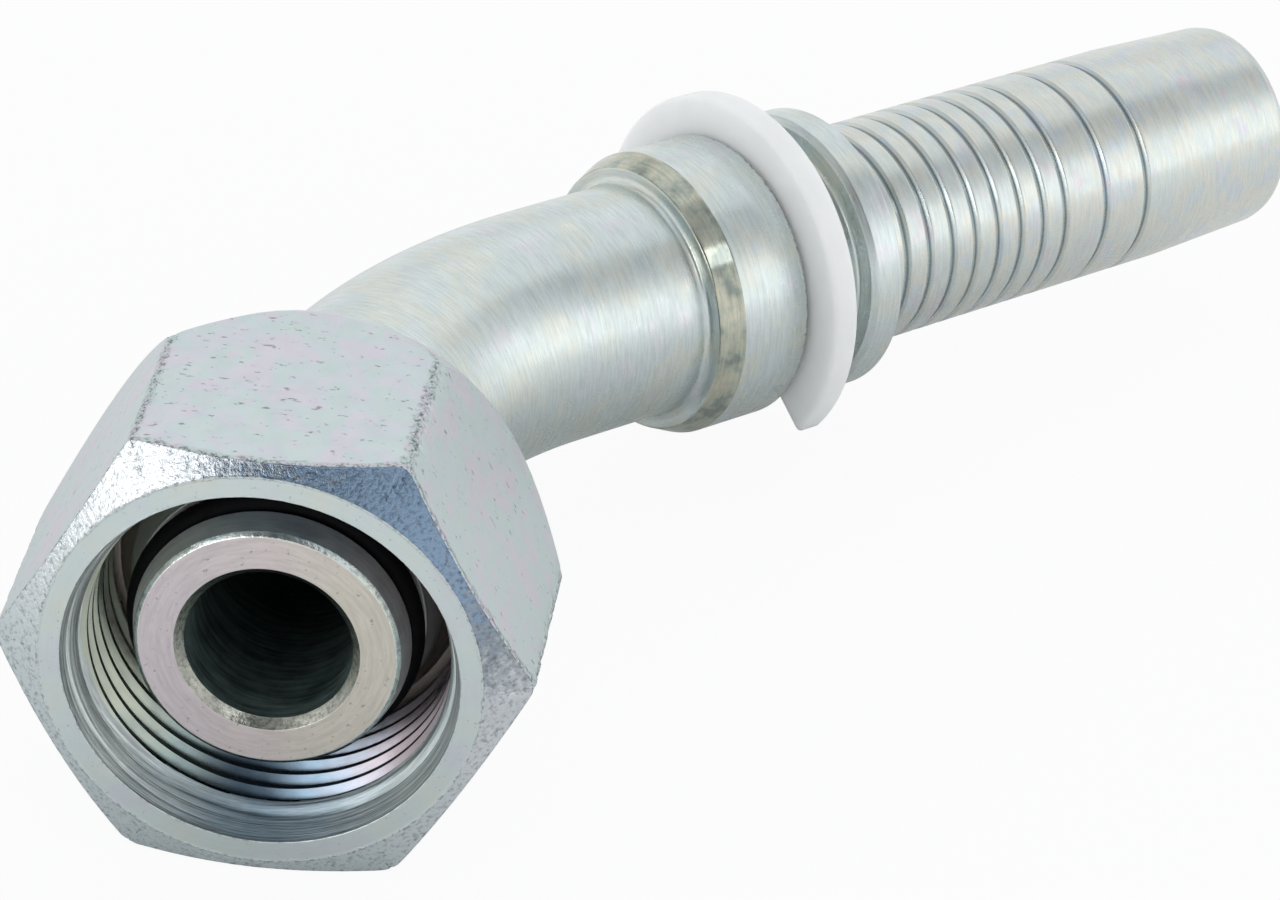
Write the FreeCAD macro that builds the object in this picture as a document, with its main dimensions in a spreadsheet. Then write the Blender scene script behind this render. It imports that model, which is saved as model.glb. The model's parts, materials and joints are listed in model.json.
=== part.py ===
import FreeCAD, Part
import math
import os
import Sketcher

# Hydraulic hose fitting with a 45 degree elbow, a swivelling hexagon nut and a grooved hose tail
#
# Frame: the origin is the centre of the cone's tip face, +X runs out of the nut along its axis and
# +Z points up. One flat of the nut lies on the ground, and the hose tail leans towards the ground by
# a small turn about the nut's axis.
# All lengths are in millimetres and all angles are in degrees.

SIZES = {
    # Flow path and elbow
    "tube_dia": 20.2,
    "bore_dia": 12.9,
    "bend_angle": 45.0,
    "bend_radius": 48.0,
    "tip_to_apex": 42.0,
    "bore_chamfer": 0.7,
    "tail_lean": 2.5,
    # Sealing cone with its O-ring groove
    "tip_dia": 20.4,
    "tip_edge": 0.25,
    "cone_half_angle": 12.0,
    "groove_from_tip": 2.5,
    "groove_length": 3.1,
    "groove_dia": 19.0,
    "o_ring_section": 2.0,
    "cone_length": 9.6,
    "cone_land": 0.9,
    # Shoulder that carries the nut
    "shoulder_dia": 27.0,
    "shoulder_length": 3.2,
    "seat_angle": 45.0,
    # Front collar, where the crimped ferrule stops
    "apex_to_collar": 29.7,
    "collar_dia": 24.8,
    "collar_length": 9.0,
    "collar_chamfer_length": 2.1,
    "collar_chamfer_depth": 0.9,
    "collar_fillet": 1.2,
    # Ferrule groove and the narrow collar behind it
    "ferrule_groove_dia": 20.8,
    "ferrule_groove_length": 7.5,
    "back_collar_dia": 24.9,
    "back_collar_length": 3.1,
    "back_collar_chamfer": 0.5,
    "back_collar_slope": 1.2,
    # Hose tail with its grooves and rounded nose
    "tail_dia": 19.6,
    "tail_length": 50.4,
    "first_groove": 3.3,
    "fine_pitch": 2.69,
    "fine_count": 8,
    "coarse_pitch": 5.0,
    "coarse_count": 2,
    "tooth_depth": 0.42,
    "tooth_slope": 0.7,
    "tooth_wall": 0.3,
    "nose_length": 12.7,
    "nose_drop": 0.5,
    "nose_round": 2.2,
    # Hexagon nut, outside
    "nut_flats": 36.0,
    "nut_length": 25.7,
    "nut_ahead": 3.3,
    "nut_face_dia": 34.0,
    "nut_chamfer_angle": 30.0,
    "crimp_length": 7.7,
    "crimp_angle": 25.0,
    "crimp_round": 0.8,
    # Hexagon nut, inside
    "mouth_dia": 30.4,
    "mouth_depth": 1.2,
    "lead_in": 2.4,
    "thread_minor_dia": 27.84,
    "thread_length": 10.0,
    "relief_dia": 30.6,
    "relief_length": 2.2,
    # Clip ring of white plastic in the ferrule groove
    "clip_dia": 31.4,
    "clip_thickness": 2.5,
    "clip_first_end": 37.5,
    "clip_opening": 60.0,
    "clip_corner": 0.3,
    # Clearances
    "nut_running_gap": 0.1,
    "nut_neck_gap": 0.5,
    "clip_seat_gap": 0.1,
    "clip_side_gap": 0.3,
    "cutter_overrun": 1.0,
}

FULL_TURN = 360.0
HALF_TURN = 180.0
RIGHT_ANGLE = 90.0
# Half the angle that one flat of a hexagon spans
HALF_FLAT = 30.0
# Distance within which two measures of a found edge count as the same
TOLERANCE = 1e-4

# Lengths that follow from the sizes, written as expressions of the sheet
TUBE_R = "dim.tube_dia / 2"
BORE_R = "dim.bore_dia / 2"
TIP_R = "dim.tip_dia / 2"
CONE_RISE = "tan(dim.cone_half_angle)"
SHOULDER_R = "dim.shoulder_dia / 2"
SHOULDER_STEP = "(dim.shoulder_dia - dim.tube_dia) / 2"
TANGENT = "dim.bend_radius * tan(dim.bend_angle / 2)"
NECK_END = f"(dim.tip_to_apex - {TANGENT})"
CONE_END_R = f"({TIP_R} + dim.cone_length * {CONE_RISE})"
SHOULDER_FRONT = f"(dim.cone_length + dim.cone_land + {SHOULDER_R} - {CONE_END_R})"
SHOULDER_BACK = f"({SHOULDER_FRONT} + dim.shoulder_length)"
COLLAR_R = "dim.collar_dia / 2"
COLLAR_END = "(dim.apex_to_collar + dim.collar_length)"
BACK_COLLAR = f"({COLLAR_END} + dim.ferrule_groove_length)"
BACK_COLLAR_R = "dim.back_collar_dia / 2"
TAIL_START = f"({BACK_COLLAR} + dim.back_collar_length)"
TAIL_END = f"({TAIL_START} + dim.tail_length)"
TAIL_R = "dim.tail_dia / 2"
LAST_FINE = "(dim.first_groove + dim.fine_pitch * (dim.fine_count - 1))"
CORNER_R = f"dim.nut_flats / (2 * cos({HALF_FLAT}))"
CHAMBER_R = f"({SHOULDER_R} + dim.nut_running_gap)"
NECK_HOLE_R = f"({TUBE_R} + dim.nut_neck_gap)"
SEAT_DEPTH = f"(dim.nut_ahead + {SHOULDER_BACK} + dim.nut_running_gap * tan(dim.seat_angle / 2))"
SEAT_END = f"({SEAT_DEPTH} + ({CHAMBER_R} - {NECK_HOLE_R}) / tan(dim.seat_angle))"
THREAD_START = "(dim.mouth_depth + dim.lead_in)"
THREAD_END = f"({THREAD_START} + dim.thread_length)"
RELIEF_END = f"({THREAD_END} + dim.relief_length)"
CLIP_FRONT = f"({COLLAR_END} + dim.clip_side_gap)"


def make_sheet(doc):
    """Spreadsheet of the driving sizes, one alias for each."""
    sheet = doc.addObject("Spreadsheet::Sheet", "dim")
    for row, (alias, number) in enumerate(SIZES.items(), start=1):
        sheet.set(f"A{row}", alias)
        sheet.set(f"B{row}", str(number))
        sheet.setAlias(f"B{row}", alias)
    doc.recompute()
    return sheet


def value(expression):
    """Number that an expression of the sheet gives."""
    result = doc.dim.evalExpression(expression)
    return float(getattr(result, "Value", result))


def bind(item, sizes):
    """Bind properties of an object to expressions of the sheet."""
    for prop, expression in sizes.items():
        item.setExpression(prop, expression)


def origin_plane(body, role):
    """One of the body's own three origin planes."""
    for feature in body.Origin.OriginFeatures:
        if feature.Role == role:
            return feature
    raise RuntimeError(f"{body.Label} has no {role}")


def add_sketch(body, name, role, turn=0.0, along=None, lift=None):
    """Sketch on an origin plane, turned in its plane, with its own origin moved."""
    sketch = body.newObject("Sketcher::SketchObject", name)
    sketch.AttachmentSupport = [(origin_plane(body, role), "")]
    sketch.MapMode = "FlatFace"
    sketch.AttachmentOffset = FreeCAD.Placement(FreeCAD.Vector(), FreeCAD.Rotation(turn, 0, 0))
    if along:
        sketch.setExpression("AttachmentOffset.Base.x", along)
    if lift:
        sketch.setExpression("AttachmentOffset.Base.z", lift)
    return sketch


def place_point(sketch, line, end, x, y):
    """Hold one end of a line at a distance from each axis of the sketch."""
    for kind, expression in (("DistanceX", x), ("DistanceY", y)):
        index = sketch.addConstraint(Sketcher.Constraint(kind, line, end, value(expression)))
        sketch.setExpression(f"Constraints[{index}]", expression)


def draw_outline(sketch, corners):
    """Closed outline of straight lines through corners given as pairs of expressions."""
    points = [FreeCAD.Vector(value(x), value(y), 0) for x, y in corners]
    count = len(points)
    for k in range(count):
        sketch.addGeometry(Part.LineSegment(points[k], points[(k + 1) % count]), False)
    for k in range(count):
        sketch.addConstraint(Sketcher.Constraint("Coincident", k, 2, (k + 1) % count, 1))
    for k, (x, y) in enumerate(corners):
        place_point(sketch, k, 1, x, y)


def draw_circle(sketch, radius):
    """Circle about the sketch's origin."""
    circle = Part.Circle(FreeCAD.Vector(), FreeCAD.Vector(0, 0, 1), value(radius))
    index = sketch.addGeometry(circle, False)
    sketch.addConstraint(Sketcher.Constraint("Coincident", index, 3, -1, 1))
    index = sketch.addConstraint(Sketcher.Constraint("Radius", index, value(radius)))
    sketch.setExpression(f"Constraints[{index}]", radius)


def finish_feature(body, feature, sketch=None):
    """Recompute after a feature and make it the body's tip."""
    doc.recompute()
    body.Tip = feature
    if sketch:
        sketch.Visibility = False
    return feature


def revolve(body, name, sketch, kind="PartDesign::Revolution"):
    """Turn a sketch right round its horizontal axis, to add or to cut."""
    before = body.Shape.Volume if body.Tip else 0.0
    feature = body.newObject(kind, name)
    feature.Profile = sketch
    feature.ReferenceAxis = (sketch, ["H_Axis"])
    feature.Angle = FULL_TURN
    finish_feature(body, feature, sketch)
    if kind == "PartDesign::Groove" and not feature.Shape.Volume < before:
        raise RuntimeError(f"{name} cuts nothing")
    return feature


def circle_edges(shape, centre, radius):
    """Names of the circular edges of a given radius about a given centre."""
    found = []
    for number, edge in enumerate(shape.Edges, start=1):
        curve = edge.Curve
        if not isinstance(curve, Part.Circle):
            continue
        if abs(curve.Radius - radius) < TOLERANCE and (curve.Center - centre).Length < TOLERANCE:
            found.append(f"Edge{number}")
    if not found:
        raise RuntimeError(f"no circular edge of radius {radius:.2f} at {centre}")
    return found


def dress(body, name, kind, edges, prop, expression):
    """Fillet or chamfer edges of the body's tip."""
    base = body.Tip
    feature = body.newObject(kind, name)
    feature.Base = (base, edges)
    feature.setExpression(prop, expression)
    return finish_feature(body, feature)


# Nipple: one piece from the sealing cone round the elbow to the tip of the hose tail
# Sketch coordinates of its head are the distance behind the cone's tip and the radius. Those of its
# tail are the distance from the apex, where the two straight axes meet, and the radius.

def add_head(body):
    """Cone, O-ring groove, shoulder and straight neck, turned about the nut's axis."""
    groove_back = "(dim.groove_from_tip + dim.groove_length)"
    sketch = add_sketch(body, "head_profile", "XY_Plane", turn=HALF_TURN)
    draw_outline(sketch, [
        ("0", "0"),
        ("0", f"{TIP_R} - dim.tip_edge"),
        ("dim.tip_edge", f"{TIP_R} + dim.tip_edge * {CONE_RISE}"),
        ("dim.groove_from_tip", f"{TIP_R} + dim.groove_from_tip * {CONE_RISE}"),
        ("dim.groove_from_tip", "dim.groove_dia / 2"),
        (groove_back, "dim.groove_dia / 2"),
        (groove_back, f"{TIP_R} + {groove_back} * {CONE_RISE}"),
        ("dim.cone_length", CONE_END_R),
        ("dim.cone_length + dim.cone_land", CONE_END_R),
        (SHOULDER_FRONT, SHOULDER_R),
        (SHOULDER_BACK, SHOULDER_R),
        (f"{SHOULDER_BACK} + {SHOULDER_STEP} / tan(dim.seat_angle)", TUBE_R),
        (NECK_END, TUBE_R),
        (NECK_END, "0"),
    ])
    revolve(body, "head", sketch)


def add_elbow(body):
    """Bent stretch of tube: a circle turned about the centre of the bend."""
    sketch = add_sketch(body, "elbow_section", "YZ_Plane", along="dim.bend_radius", lift=f"-{NECK_END}")
    centre = FreeCAD.Vector(-value("dim.bend_radius"), 0, 0)
    index = sketch.addGeometry(Part.Circle(centre, FreeCAD.Vector(0, 0, 1), value(TUBE_R)), False)
    sketch.addConstraint(Sketcher.Constraint("PointOnObject", index, 3, -1))
    for kind, end, expression in (("DistanceX", 3, "-dim.bend_radius"), ("Radius", None, TUBE_R)):
        picked = (index,) if end is None else (index, end)
        number = sketch.addConstraint(Sketcher.Constraint(kind, *picked, value(expression)))
        sketch.setExpression(f"Constraints[{number}]", expression)
    elbow = body.newObject("PartDesign::Revolution", "elbow")
    elbow.Profile = sketch
    elbow.ReferenceAxis = (sketch, ["V_Axis"])
    elbow.Reversed = True
    elbow.setExpression("Angle", "dim.bend_angle")
    finish_feature(body, elbow, sketch)


def hose_sketch(body, name):
    """Sketch whose horizontal axis is the hose axis, starting at the apex."""
    sketch = add_sketch(body, name, "XY_Plane", along="-dim.tip_to_apex")
    sketch.setExpression("AttachmentOffset.Rotation.Angle", "180 - dim.bend_angle")
    return sketch


def add_tail(body):
    """Straight tube, collars, ferrule groove and hose tail, turned about the hose axis."""
    face_r = f"{COLLAR_R} - dim.collar_chamfer_depth"
    slope_end = f"{TAIL_START} + dim.back_collar_slope"
    nose_r = f"{TAIL_R} - dim.nose_drop"
    sketch = hose_sketch(body, "tail_profile")
    draw_outline(sketch, [
        (TANGENT, "0"),
        (TANGENT, TUBE_R),
        ("dim.apex_to_collar", TUBE_R),
        ("dim.apex_to_collar", face_r),
        ("dim.apex_to_collar + dim.collar_chamfer_length", COLLAR_R),
        (COLLAR_END, COLLAR_R),
        (COLLAR_END, "dim.ferrule_groove_dia / 2"),
        (BACK_COLLAR, "dim.ferrule_groove_dia / 2"),
        (BACK_COLLAR, f"{BACK_COLLAR_R} - dim.back_collar_chamfer"),
        (f"{BACK_COLLAR} + dim.back_collar_chamfer", BACK_COLLAR_R),
        (TAIL_START, BACK_COLLAR_R),
        (slope_end, TAIL_R),
        (f"{TAIL_END} - dim.nose_length", TAIL_R),
        (TAIL_END, nose_r),
        (TAIL_END, "0"),
    ])
    revolve(body, "tail", sketch)
    tip_edge = circle_edges(body.Shape, on_hose_axis(TAIL_END), value(nose_r))
    dress(body, "nose_round", "PartDesign::Fillet", tip_edge, "Radius", "dim.nose_round")
    root_edge = circle_edges(body.Shape, on_hose_axis("dim.apex_to_collar"), value(TUBE_R))
    dress(body, "collar_fillet", "PartDesign::Fillet", root_edge, "Radius", "dim.collar_fillet")


def on_hose_axis(distance):
    """Point on the hose axis at a distance from the apex, in the nipple's own frame."""
    turn = math.radians(HALF_TURN - value("dim.bend_angle"))
    reach = value(distance)
    apex = -value("dim.tip_to_apex")
    return FreeCAD.Vector(apex + reach * math.cos(turn), reach * math.sin(turn), 0)


def cut_grooves(body, name, first, pitch, count):
    """Row of saw-tooth grooves: a steep wall on the nose's side and a slope on the collar's.

    The cutter stands as far above the tail as it goes into it, so its top is twice as long as the
    groove that it leaves.
    """
    wall = f"{TAIL_START} + {first}"
    over_r = f"{TAIL_R} + dim.tooth_depth"
    slope = f"{wall} - 2 * dim.tooth_slope"
    far = f"{wall} + 2 * dim.tooth_wall"
    sketch = hose_sketch(body, f"{name}_tooth")
    draw_outline(sketch, [(slope, over_r), (wall, f"{TAIL_R} - dim.tooth_depth"), (far, over_r)])
    groove = revolve(body, f"{name}_groove", sketch, "PartDesign::Groove")
    row = body.newObject("PartDesign::LinearPattern", f"{name}_grooves")
    row.Originals = [groove]
    row.Direction = (sketch, ["H_Axis"])
    row.setExpression("Length", f"{pitch} * ({count} - 1)")
    row.setExpression("Occurrences", count)
    finish_feature(body, row)
    if not row.Shape.Volume < groove.Shape.Volume:
        raise RuntimeError(f"{name} grooves are not repeated")


def drill_bore(body):
    """Flow bore along the centre line, with a broken edge at each end."""
    path = add_sketch(body, "centre_line", "XY_Plane")
    tangent, radius, bend = value(TANGENT), value("dim.bend_radius"), value("dim.bend_angle")
    apex = -value("dim.tip_to_apex")
    mouth = FreeCAD.Vector(0, 0, 0)
    bend_in = FreeCAD.Vector(apex + tangent, 0, 0)
    bend_out = on_hose_axis(TANGENT)
    tail_tip = on_hose_axis(TAIL_END)
    centre = FreeCAD.Vector(apex + tangent, radius, 0)
    foot = math.radians(HALF_TURN + RIGHT_ANGLE)
    start = foot - math.radians(bend)
    path.addGeometry(Part.LineSegment(mouth, bend_in), False)
    arc = Part.Circle(centre, FreeCAD.Vector(0, 0, 1), radius)
    path.addGeometry(Part.ArcOfCircle(arc, start, foot), False)
    path.addGeometry(Part.LineSegment(bend_out, tail_tip), False)
    path.addConstraint(Sketcher.Constraint("Coincident", 0, 1, -1, 1))
    path.addConstraint(Sketcher.Constraint("Horizontal", 0))
    path.addConstraint(Sketcher.Constraint("Tangent", 0, 2, 1, 2))
    path.addConstraint(Sketcher.Constraint("Tangent", 1, 1, 2, 1))
    sizes = (
        (("Distance", 0), NECK_END),
        (("Radius", 1), "dim.bend_radius"),
        (("Angle", 1), "dim.bend_angle"),
        (("Distance", 2), f"{TAIL_END} - {TANGENT}"),
    )
    for (kind, line), expression in sizes:
        number = value(expression)
        if kind == "Angle":
            number = math.radians(number)
        index = path.addConstraint(Sketcher.Constraint(kind, line, number))
        path.setExpression(f"Constraints[{index}]", expression)
    section = add_sketch(body, "bore_section", "YZ_Plane")
    draw_circle(section, BORE_R)
    doc.recompute()
    before = body.Shape.Volume
    bore = body.newObject("PartDesign::SubtractivePipe", "bore")
    bore.Profile = section
    bore.Spine = path
    bore.Transition = "Transformed"
    finish_feature(body, bore, section)
    path.Visibility = False
    if not bore.Shape.Volume < before:
        raise RuntimeError("the bore cuts nothing")
    radius = value(BORE_R)
    edges = circle_edges(body.Shape, mouth, radius) + circle_edges(body.Shape, tail_tip, radius)
    dress(body, "bore_edges", "PartDesign::Chamfer", edges, "Size", "dim.bore_chamfer")


def make_nipple():
    """Turned, drilled and bent nipple body."""
    body = doc.addObject("PartDesign::Body", "nipple")
    body.Label = "bent_hose_nipple"
    add_head(body)
    add_elbow(body)
    add_tail(body)
    cut_grooves(body, "fine", "dim.first_groove", "dim.fine_pitch", "dim.fine_count")
    first_coarse = f"({LAST_FINE} + dim.coarse_pitch)"
    cut_grooves(body, "coarse", first_coarse, "dim.coarse_pitch", "dim.coarse_count")
    drill_bore(body)
    return body


# Nut: a hexagon, chamfered in front and crimped to a taper behind the nipple's shoulder
# Sketch coordinates of its cuts are the distance behind its front face and the radius.

def nut_sketch(body, name):
    """Sketch on the nut's axis, measured backwards from its front face."""
    return add_sketch(body, name, "XY_Plane", turn=HALF_TURN, along="dim.nut_ahead")


def add_hexagon(body):
    """Hexagon bar with flats at the top and bottom."""
    half, corner = "dim.nut_flats / 2", CORNER_R
    side = f"{corner} / 2"
    sketch = add_sketch(body, "hexagon", "YZ_Plane", lift="dim.nut_ahead - dim.nut_length")
    draw_outline(sketch, [
        (corner, "0"),
        (side, half),
        (f"-{side}", half),
        (f"-{corner}", "0"),
        (f"-{side}", f"-{half}"),
        (side, f"-{half}"),
    ])
    pad = body.newObject("PartDesign::Pad", "bar")
    pad.Profile = sketch
    pad.setExpression("Length", "dim.nut_length")
    finish_feature(body, pad, sketch)


def cut_nut_ends(body):
    """Front chamfer and crimped rear taper, both turned off the hexagon's corners."""
    over_r = f"({CORNER_R} + dim.cutter_overrun)"
    chamfer_depth = f"({over_r} - dim.nut_face_dia / 2) * tan(dim.nut_chamfer_angle)"
    sketch = nut_sketch(body, "front_cutter")
    draw_outline(sketch, [("0", "dim.nut_face_dia / 2"), (chamfer_depth, over_r), ("0", over_r)])
    revolve(body, "front_chamfer", sketch, "PartDesign::Groove")
    taper_start = "(dim.nut_length - dim.crimp_length - dim.cutter_overrun / tan(dim.crimp_angle))"
    end_r = f"({CORNER_R} - dim.crimp_length * tan(dim.crimp_angle))"
    sketch = nut_sketch(body, "rear_cutter")
    draw_outline(sketch, [(taper_start, over_r), ("dim.nut_length", end_r), ("dim.nut_length", over_r)])
    revolve(body, "crimped_taper", sketch, "PartDesign::Groove")
    rear = FreeCAD.Vector(value("dim.nut_ahead - dim.nut_length"), 0, 0)
    edge = circle_edges(body.Shape, rear, value(end_r))
    dress(body, "crimp_round", "PartDesign::Fillet", edge, "Radius", "dim.crimp_round")


def bore_nut(body):
    """Mouth, thread bore, relief, chamber over the shoulder, 45 degree seat and neck hole."""
    minor_r = "dim.thread_minor_dia / 2"
    before = "-dim.cutter_overrun"
    behind = "dim.nut_length + dim.cutter_overrun"
    sketch = nut_sketch(body, "nut_bore_profile")
    draw_outline(sketch, [
        (before, "0"),
        (before, "dim.mouth_dia / 2"),
        ("dim.mouth_depth", "dim.mouth_dia / 2"),
        (THREAD_START, minor_r),
        (THREAD_END, minor_r),
        (THREAD_END, "dim.relief_dia / 2"),
        (RELIEF_END, "dim.relief_dia / 2"),
        (RELIEF_END, CHAMBER_R),
        (SEAT_DEPTH, CHAMBER_R),
        (SEAT_END, NECK_HOLE_R),
        (behind, NECK_HOLE_R),
        (behind, "0"),
    ])
    revolve(body, "nut_bore", sketch, "PartDesign::Groove")


def make_nut():
    """Swivelling union nut."""
    body = doc.addObject("PartDesign::Body", "nut")
    body.Label = "swivel_nut"
    add_hexagon(body)
    cut_nut_ends(body)
    bore_nut(body)
    return body


# O-ring in the cone's groove

def make_o_ring():
    """Rubber ring that lies on the bottom of its groove."""
    ring = doc.addObject("Part::Torus", "o_ring")
    ring.Label = "cone_o_ring"
    across = FreeCAD.Rotation(FreeCAD.Vector(0, 1, 0), RIGHT_ANGLE)
    ring.Placement = FreeCAD.Placement(FreeCAD.Vector(), across)
    bind(ring, {
        "Radius1": "(dim.groove_dia + dim.o_ring_section) / 2",
        "Radius2": "dim.o_ring_section / 2",
        "Placement.Base.x": "-(dim.groove_from_tip + dim.groove_length / 2)",
    })
    return ring


# Clip ring: a flat split ring of white plastic, clipped into the ferrule groove
# Its ends are given as angles about the hose axis, from the inner side of the elbow downwards.

def make_clip_ring():
    """Split ring drawn in its own frame, whose X axis is the hose axis."""
    body = doc.addObject("PartDesign::Body", "clip_ring")
    body.Label = "ferrule_clip_ring"
    outer = value("dim.clip_dia / 2")
    inner = value("dim.ferrule_groove_dia / 2 + dim.clip_seat_gap")
    low = HALF_TURN + value("dim.clip_first_end + dim.clip_opening")
    high = HALF_TURN + value("dim.clip_first_end") + FULL_TURN
    ends = (math.radians(low), math.radians(high))
    sketch = add_sketch(body, "clip_outline", "YZ_Plane", lift=CLIP_FRONT)
    axis = FreeCAD.Vector(0, 0, 1)
    for radius in (outer, inner):
        sketch.addGeometry(Part.ArcOfCircle(Part.Circle(FreeCAD.Vector(), axis, radius), *ends), False)
    for angle in ends:
        way = FreeCAD.Vector(math.cos(angle), math.sin(angle), 0)
        sketch.addGeometry(Part.LineSegment(way * inner, way * outer), False)
    for arc in (0, 1):
        sketch.addConstraint(Sketcher.Constraint("Coincident", arc, 3, -1, 1))
    for line, end in ((2, 1), (3, 2)):
        sketch.addConstraint(Sketcher.Constraint("Coincident", line, 2, 0, end))
        sketch.addConstraint(Sketcher.Constraint("Coincident", line, 1, 1, end))
    sizes = (
        ("Radius", (0,), outer, "dim.clip_dia / 2"),
        ("Radius", (1,), inner, "dim.ferrule_groove_dia / 2 + dim.clip_seat_gap"),
        ("Angle", (-1, 1, 2, 1), ends[0], "180 + dim.clip_first_end + dim.clip_opening - 360"),
        ("Angle", (-1, 1, 3, 1), ends[1], "180 + dim.clip_first_end - 360"),
    )
    for kind, picked, number, expression in sizes:
        if kind == "Angle":
            number = math.remainder(number, math.tau)
        index = sketch.addConstraint(Sketcher.Constraint(kind, *picked, number))
        sketch.setExpression(f"Constraints[{index}]", expression)
    pad = body.newObject("PartDesign::Pad", "clip_plate")
    pad.Profile = sketch
    pad.setExpression("Length", "dim.clip_thickness")
    finish_feature(body, pad, sketch)
    corners = []
    for number, edge in enumerate(body.Shape.Edges, start=1):
        ends_r = [math.hypot(v.Y, v.Z) for v in edge.Vertexes]
        across = isinstance(edge.Curve, Part.Line) and abs(edge.Length - pad.Length.Value) < TOLERANCE
        if across and min(ends_r) > (inner + outer) / 2:
            corners.append(f"Edge{number}")
    dress(body, "clip_corners", "PartDesign::Fillet", corners, "Radius", "dim.clip_corner")
    return body


# Rest: the nipple is turned a little about the nut's axis, so that the hose tail leans down

def lay_down(nipple, clip_ring):
    """Turn the nipple, and the clip ring on its hose axis, about the nut's axis."""
    down = FreeCAD.Rotation(FreeCAD.Vector(1, 0, 0), -value("dim.tail_lean"))
    turn = FreeCAD.Placement(FreeCAD.Vector(), down)
    nipple.Placement = turn
    apex = FreeCAD.Vector(-value("dim.tip_to_apex"), 0, 0)
    bend = FreeCAD.Rotation(FreeCAD.Vector(0, 0, 1), HALF_TURN - value("dim.bend_angle"))
    clip_ring.Placement = turn.multiply(FreeCAD.Placement(apex, bend))


def check_document():
    """Stop on a feature that failed."""
    for item in doc.Objects:
        if "Invalid" in item.State or "Error" in item.State:
            raise RuntimeError(f"{item.Label} failed: {item.State}")


def export(parts):
    """Write one STEP file for each piece, after checking all of them."""
    for piece in parts:
        shape = piece.Shape
        if shape.isNull() or not shape.isValid():
            raise RuntimeError(f"{piece.Label} has no valid shape")
        if len(shape.Solids) != 1:
            raise RuntimeError(f"{piece.Label} is not one solid")
    os.makedirs("parts", exist_ok=True)
    for piece in parts:
        piece.Shape.exportStep(f"parts/{piece.Label}.step")
        box = piece.Shape.optimalBoundingBox()
        print(f"{piece.Label}: {piece.Shape.Volume:.1f} mm3, lowest point {box.ZMin:.3f}")


doc = FreeCAD.newDocument("hose_fitting")
make_sheet(doc)
nipple = make_nipple()
nut = make_nut()
o_ring = make_o_ring()
clip_ring = make_clip_ring()
lay_down(nipple, clip_ring)
doc.recompute()
check_document()
export([nipple, nut, o_ring, clip_ring])
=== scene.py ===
# %% [markdown]
# # A bent hydraulic hose fitting
#
# This fitting joins a hydraulic hose to a threaded port. It comes apart into four pieces: a nipple
# turned from one bar of steel, drilled and bent, a hexagon nut that swivels on it, a rubber O-ring
# in the nipple's sealing cone, and a clip ring of white plastic. The solids already stand in place.
# Here the steel pieces and the clip ring are made again with the fine edges, marks and thread that
# the eye expects of machined steel, and every piece gets its finish.

# %% Load the solids and keep their box
import json
import math
from functools import partial

import bmesh
import bpy
import numpy as np
from mathutils import Matrix, Vector, noise


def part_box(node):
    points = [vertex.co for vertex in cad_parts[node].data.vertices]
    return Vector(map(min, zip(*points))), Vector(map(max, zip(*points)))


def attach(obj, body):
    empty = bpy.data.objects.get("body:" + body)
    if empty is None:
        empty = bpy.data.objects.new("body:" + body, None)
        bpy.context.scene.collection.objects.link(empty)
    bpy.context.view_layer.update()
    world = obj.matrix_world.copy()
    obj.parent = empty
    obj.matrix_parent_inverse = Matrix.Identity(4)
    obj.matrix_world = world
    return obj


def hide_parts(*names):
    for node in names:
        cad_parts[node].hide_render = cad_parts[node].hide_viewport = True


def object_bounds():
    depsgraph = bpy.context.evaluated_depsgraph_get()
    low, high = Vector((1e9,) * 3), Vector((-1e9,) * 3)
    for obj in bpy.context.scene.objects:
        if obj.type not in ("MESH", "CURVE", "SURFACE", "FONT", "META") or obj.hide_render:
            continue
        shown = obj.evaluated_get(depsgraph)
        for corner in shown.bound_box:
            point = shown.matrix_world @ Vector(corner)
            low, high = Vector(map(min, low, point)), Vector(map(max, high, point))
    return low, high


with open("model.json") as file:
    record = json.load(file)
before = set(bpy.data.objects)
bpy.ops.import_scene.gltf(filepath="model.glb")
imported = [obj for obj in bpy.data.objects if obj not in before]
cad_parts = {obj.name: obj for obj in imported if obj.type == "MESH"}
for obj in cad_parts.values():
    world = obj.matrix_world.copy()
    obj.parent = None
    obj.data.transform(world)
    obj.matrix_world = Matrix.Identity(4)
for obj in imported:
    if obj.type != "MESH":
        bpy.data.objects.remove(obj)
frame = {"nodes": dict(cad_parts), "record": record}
cad_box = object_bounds()
scene = bpy.context.scene
MM = 0.001

mounts = {mount["name"]: mount for mount in frame["record"]["mounts"]}
HOSE_AXIS = Vector(mounts["hose_tail"]["axis"]).normalized()
BEND = math.acos(-HOSE_AXIS.x)
LEAN = math.atan2(-HOSE_AXIS.z, HOSE_AXIS.y)
print(f"bend {math.degrees(BEND):.2f}, lean {math.degrees(LEAN):.2f} degrees")


def new_object(name, data):
    """New object in the scene."""
    placed = bpy.data.objects.new(name, data)
    scene.collection.objects.link(placed)
    return placed


# %% [markdown]
# ## The camera
#
# The camera stands a forearm's length away, in front of the nut and above it, and looks down by 30
# degrees through a long lens. A long lens keeps the near nut and the far hose tail in proportion.
# It is set by the point it stands at, the point it looks at and a small roll about its own axis.

# %% Camera
CAMERA_AT = Vector((330.08, 53.31, 211.51)) * MM
LOOK_AT = Vector((-11.08, 26.38, 14.25)) * MM
CAMERA_ROLL = math.radians(3.56)
LENS = 147.04

camera_data = bpy.data.cameras.new("camera")
camera_data.lens = LENS
camera_data.sensor_width = 36.0
camera = new_object("camera", camera_data)
camera.location = CAMERA_AT
aim = (LOOK_AT - CAMERA_AT).to_track_quat("-Z", "Y").to_matrix()
camera.rotation_euler = (aim @ Matrix.Rotation(CAMERA_ROLL, 3, "Z")).to_euler()
scene.camera = camera

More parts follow.
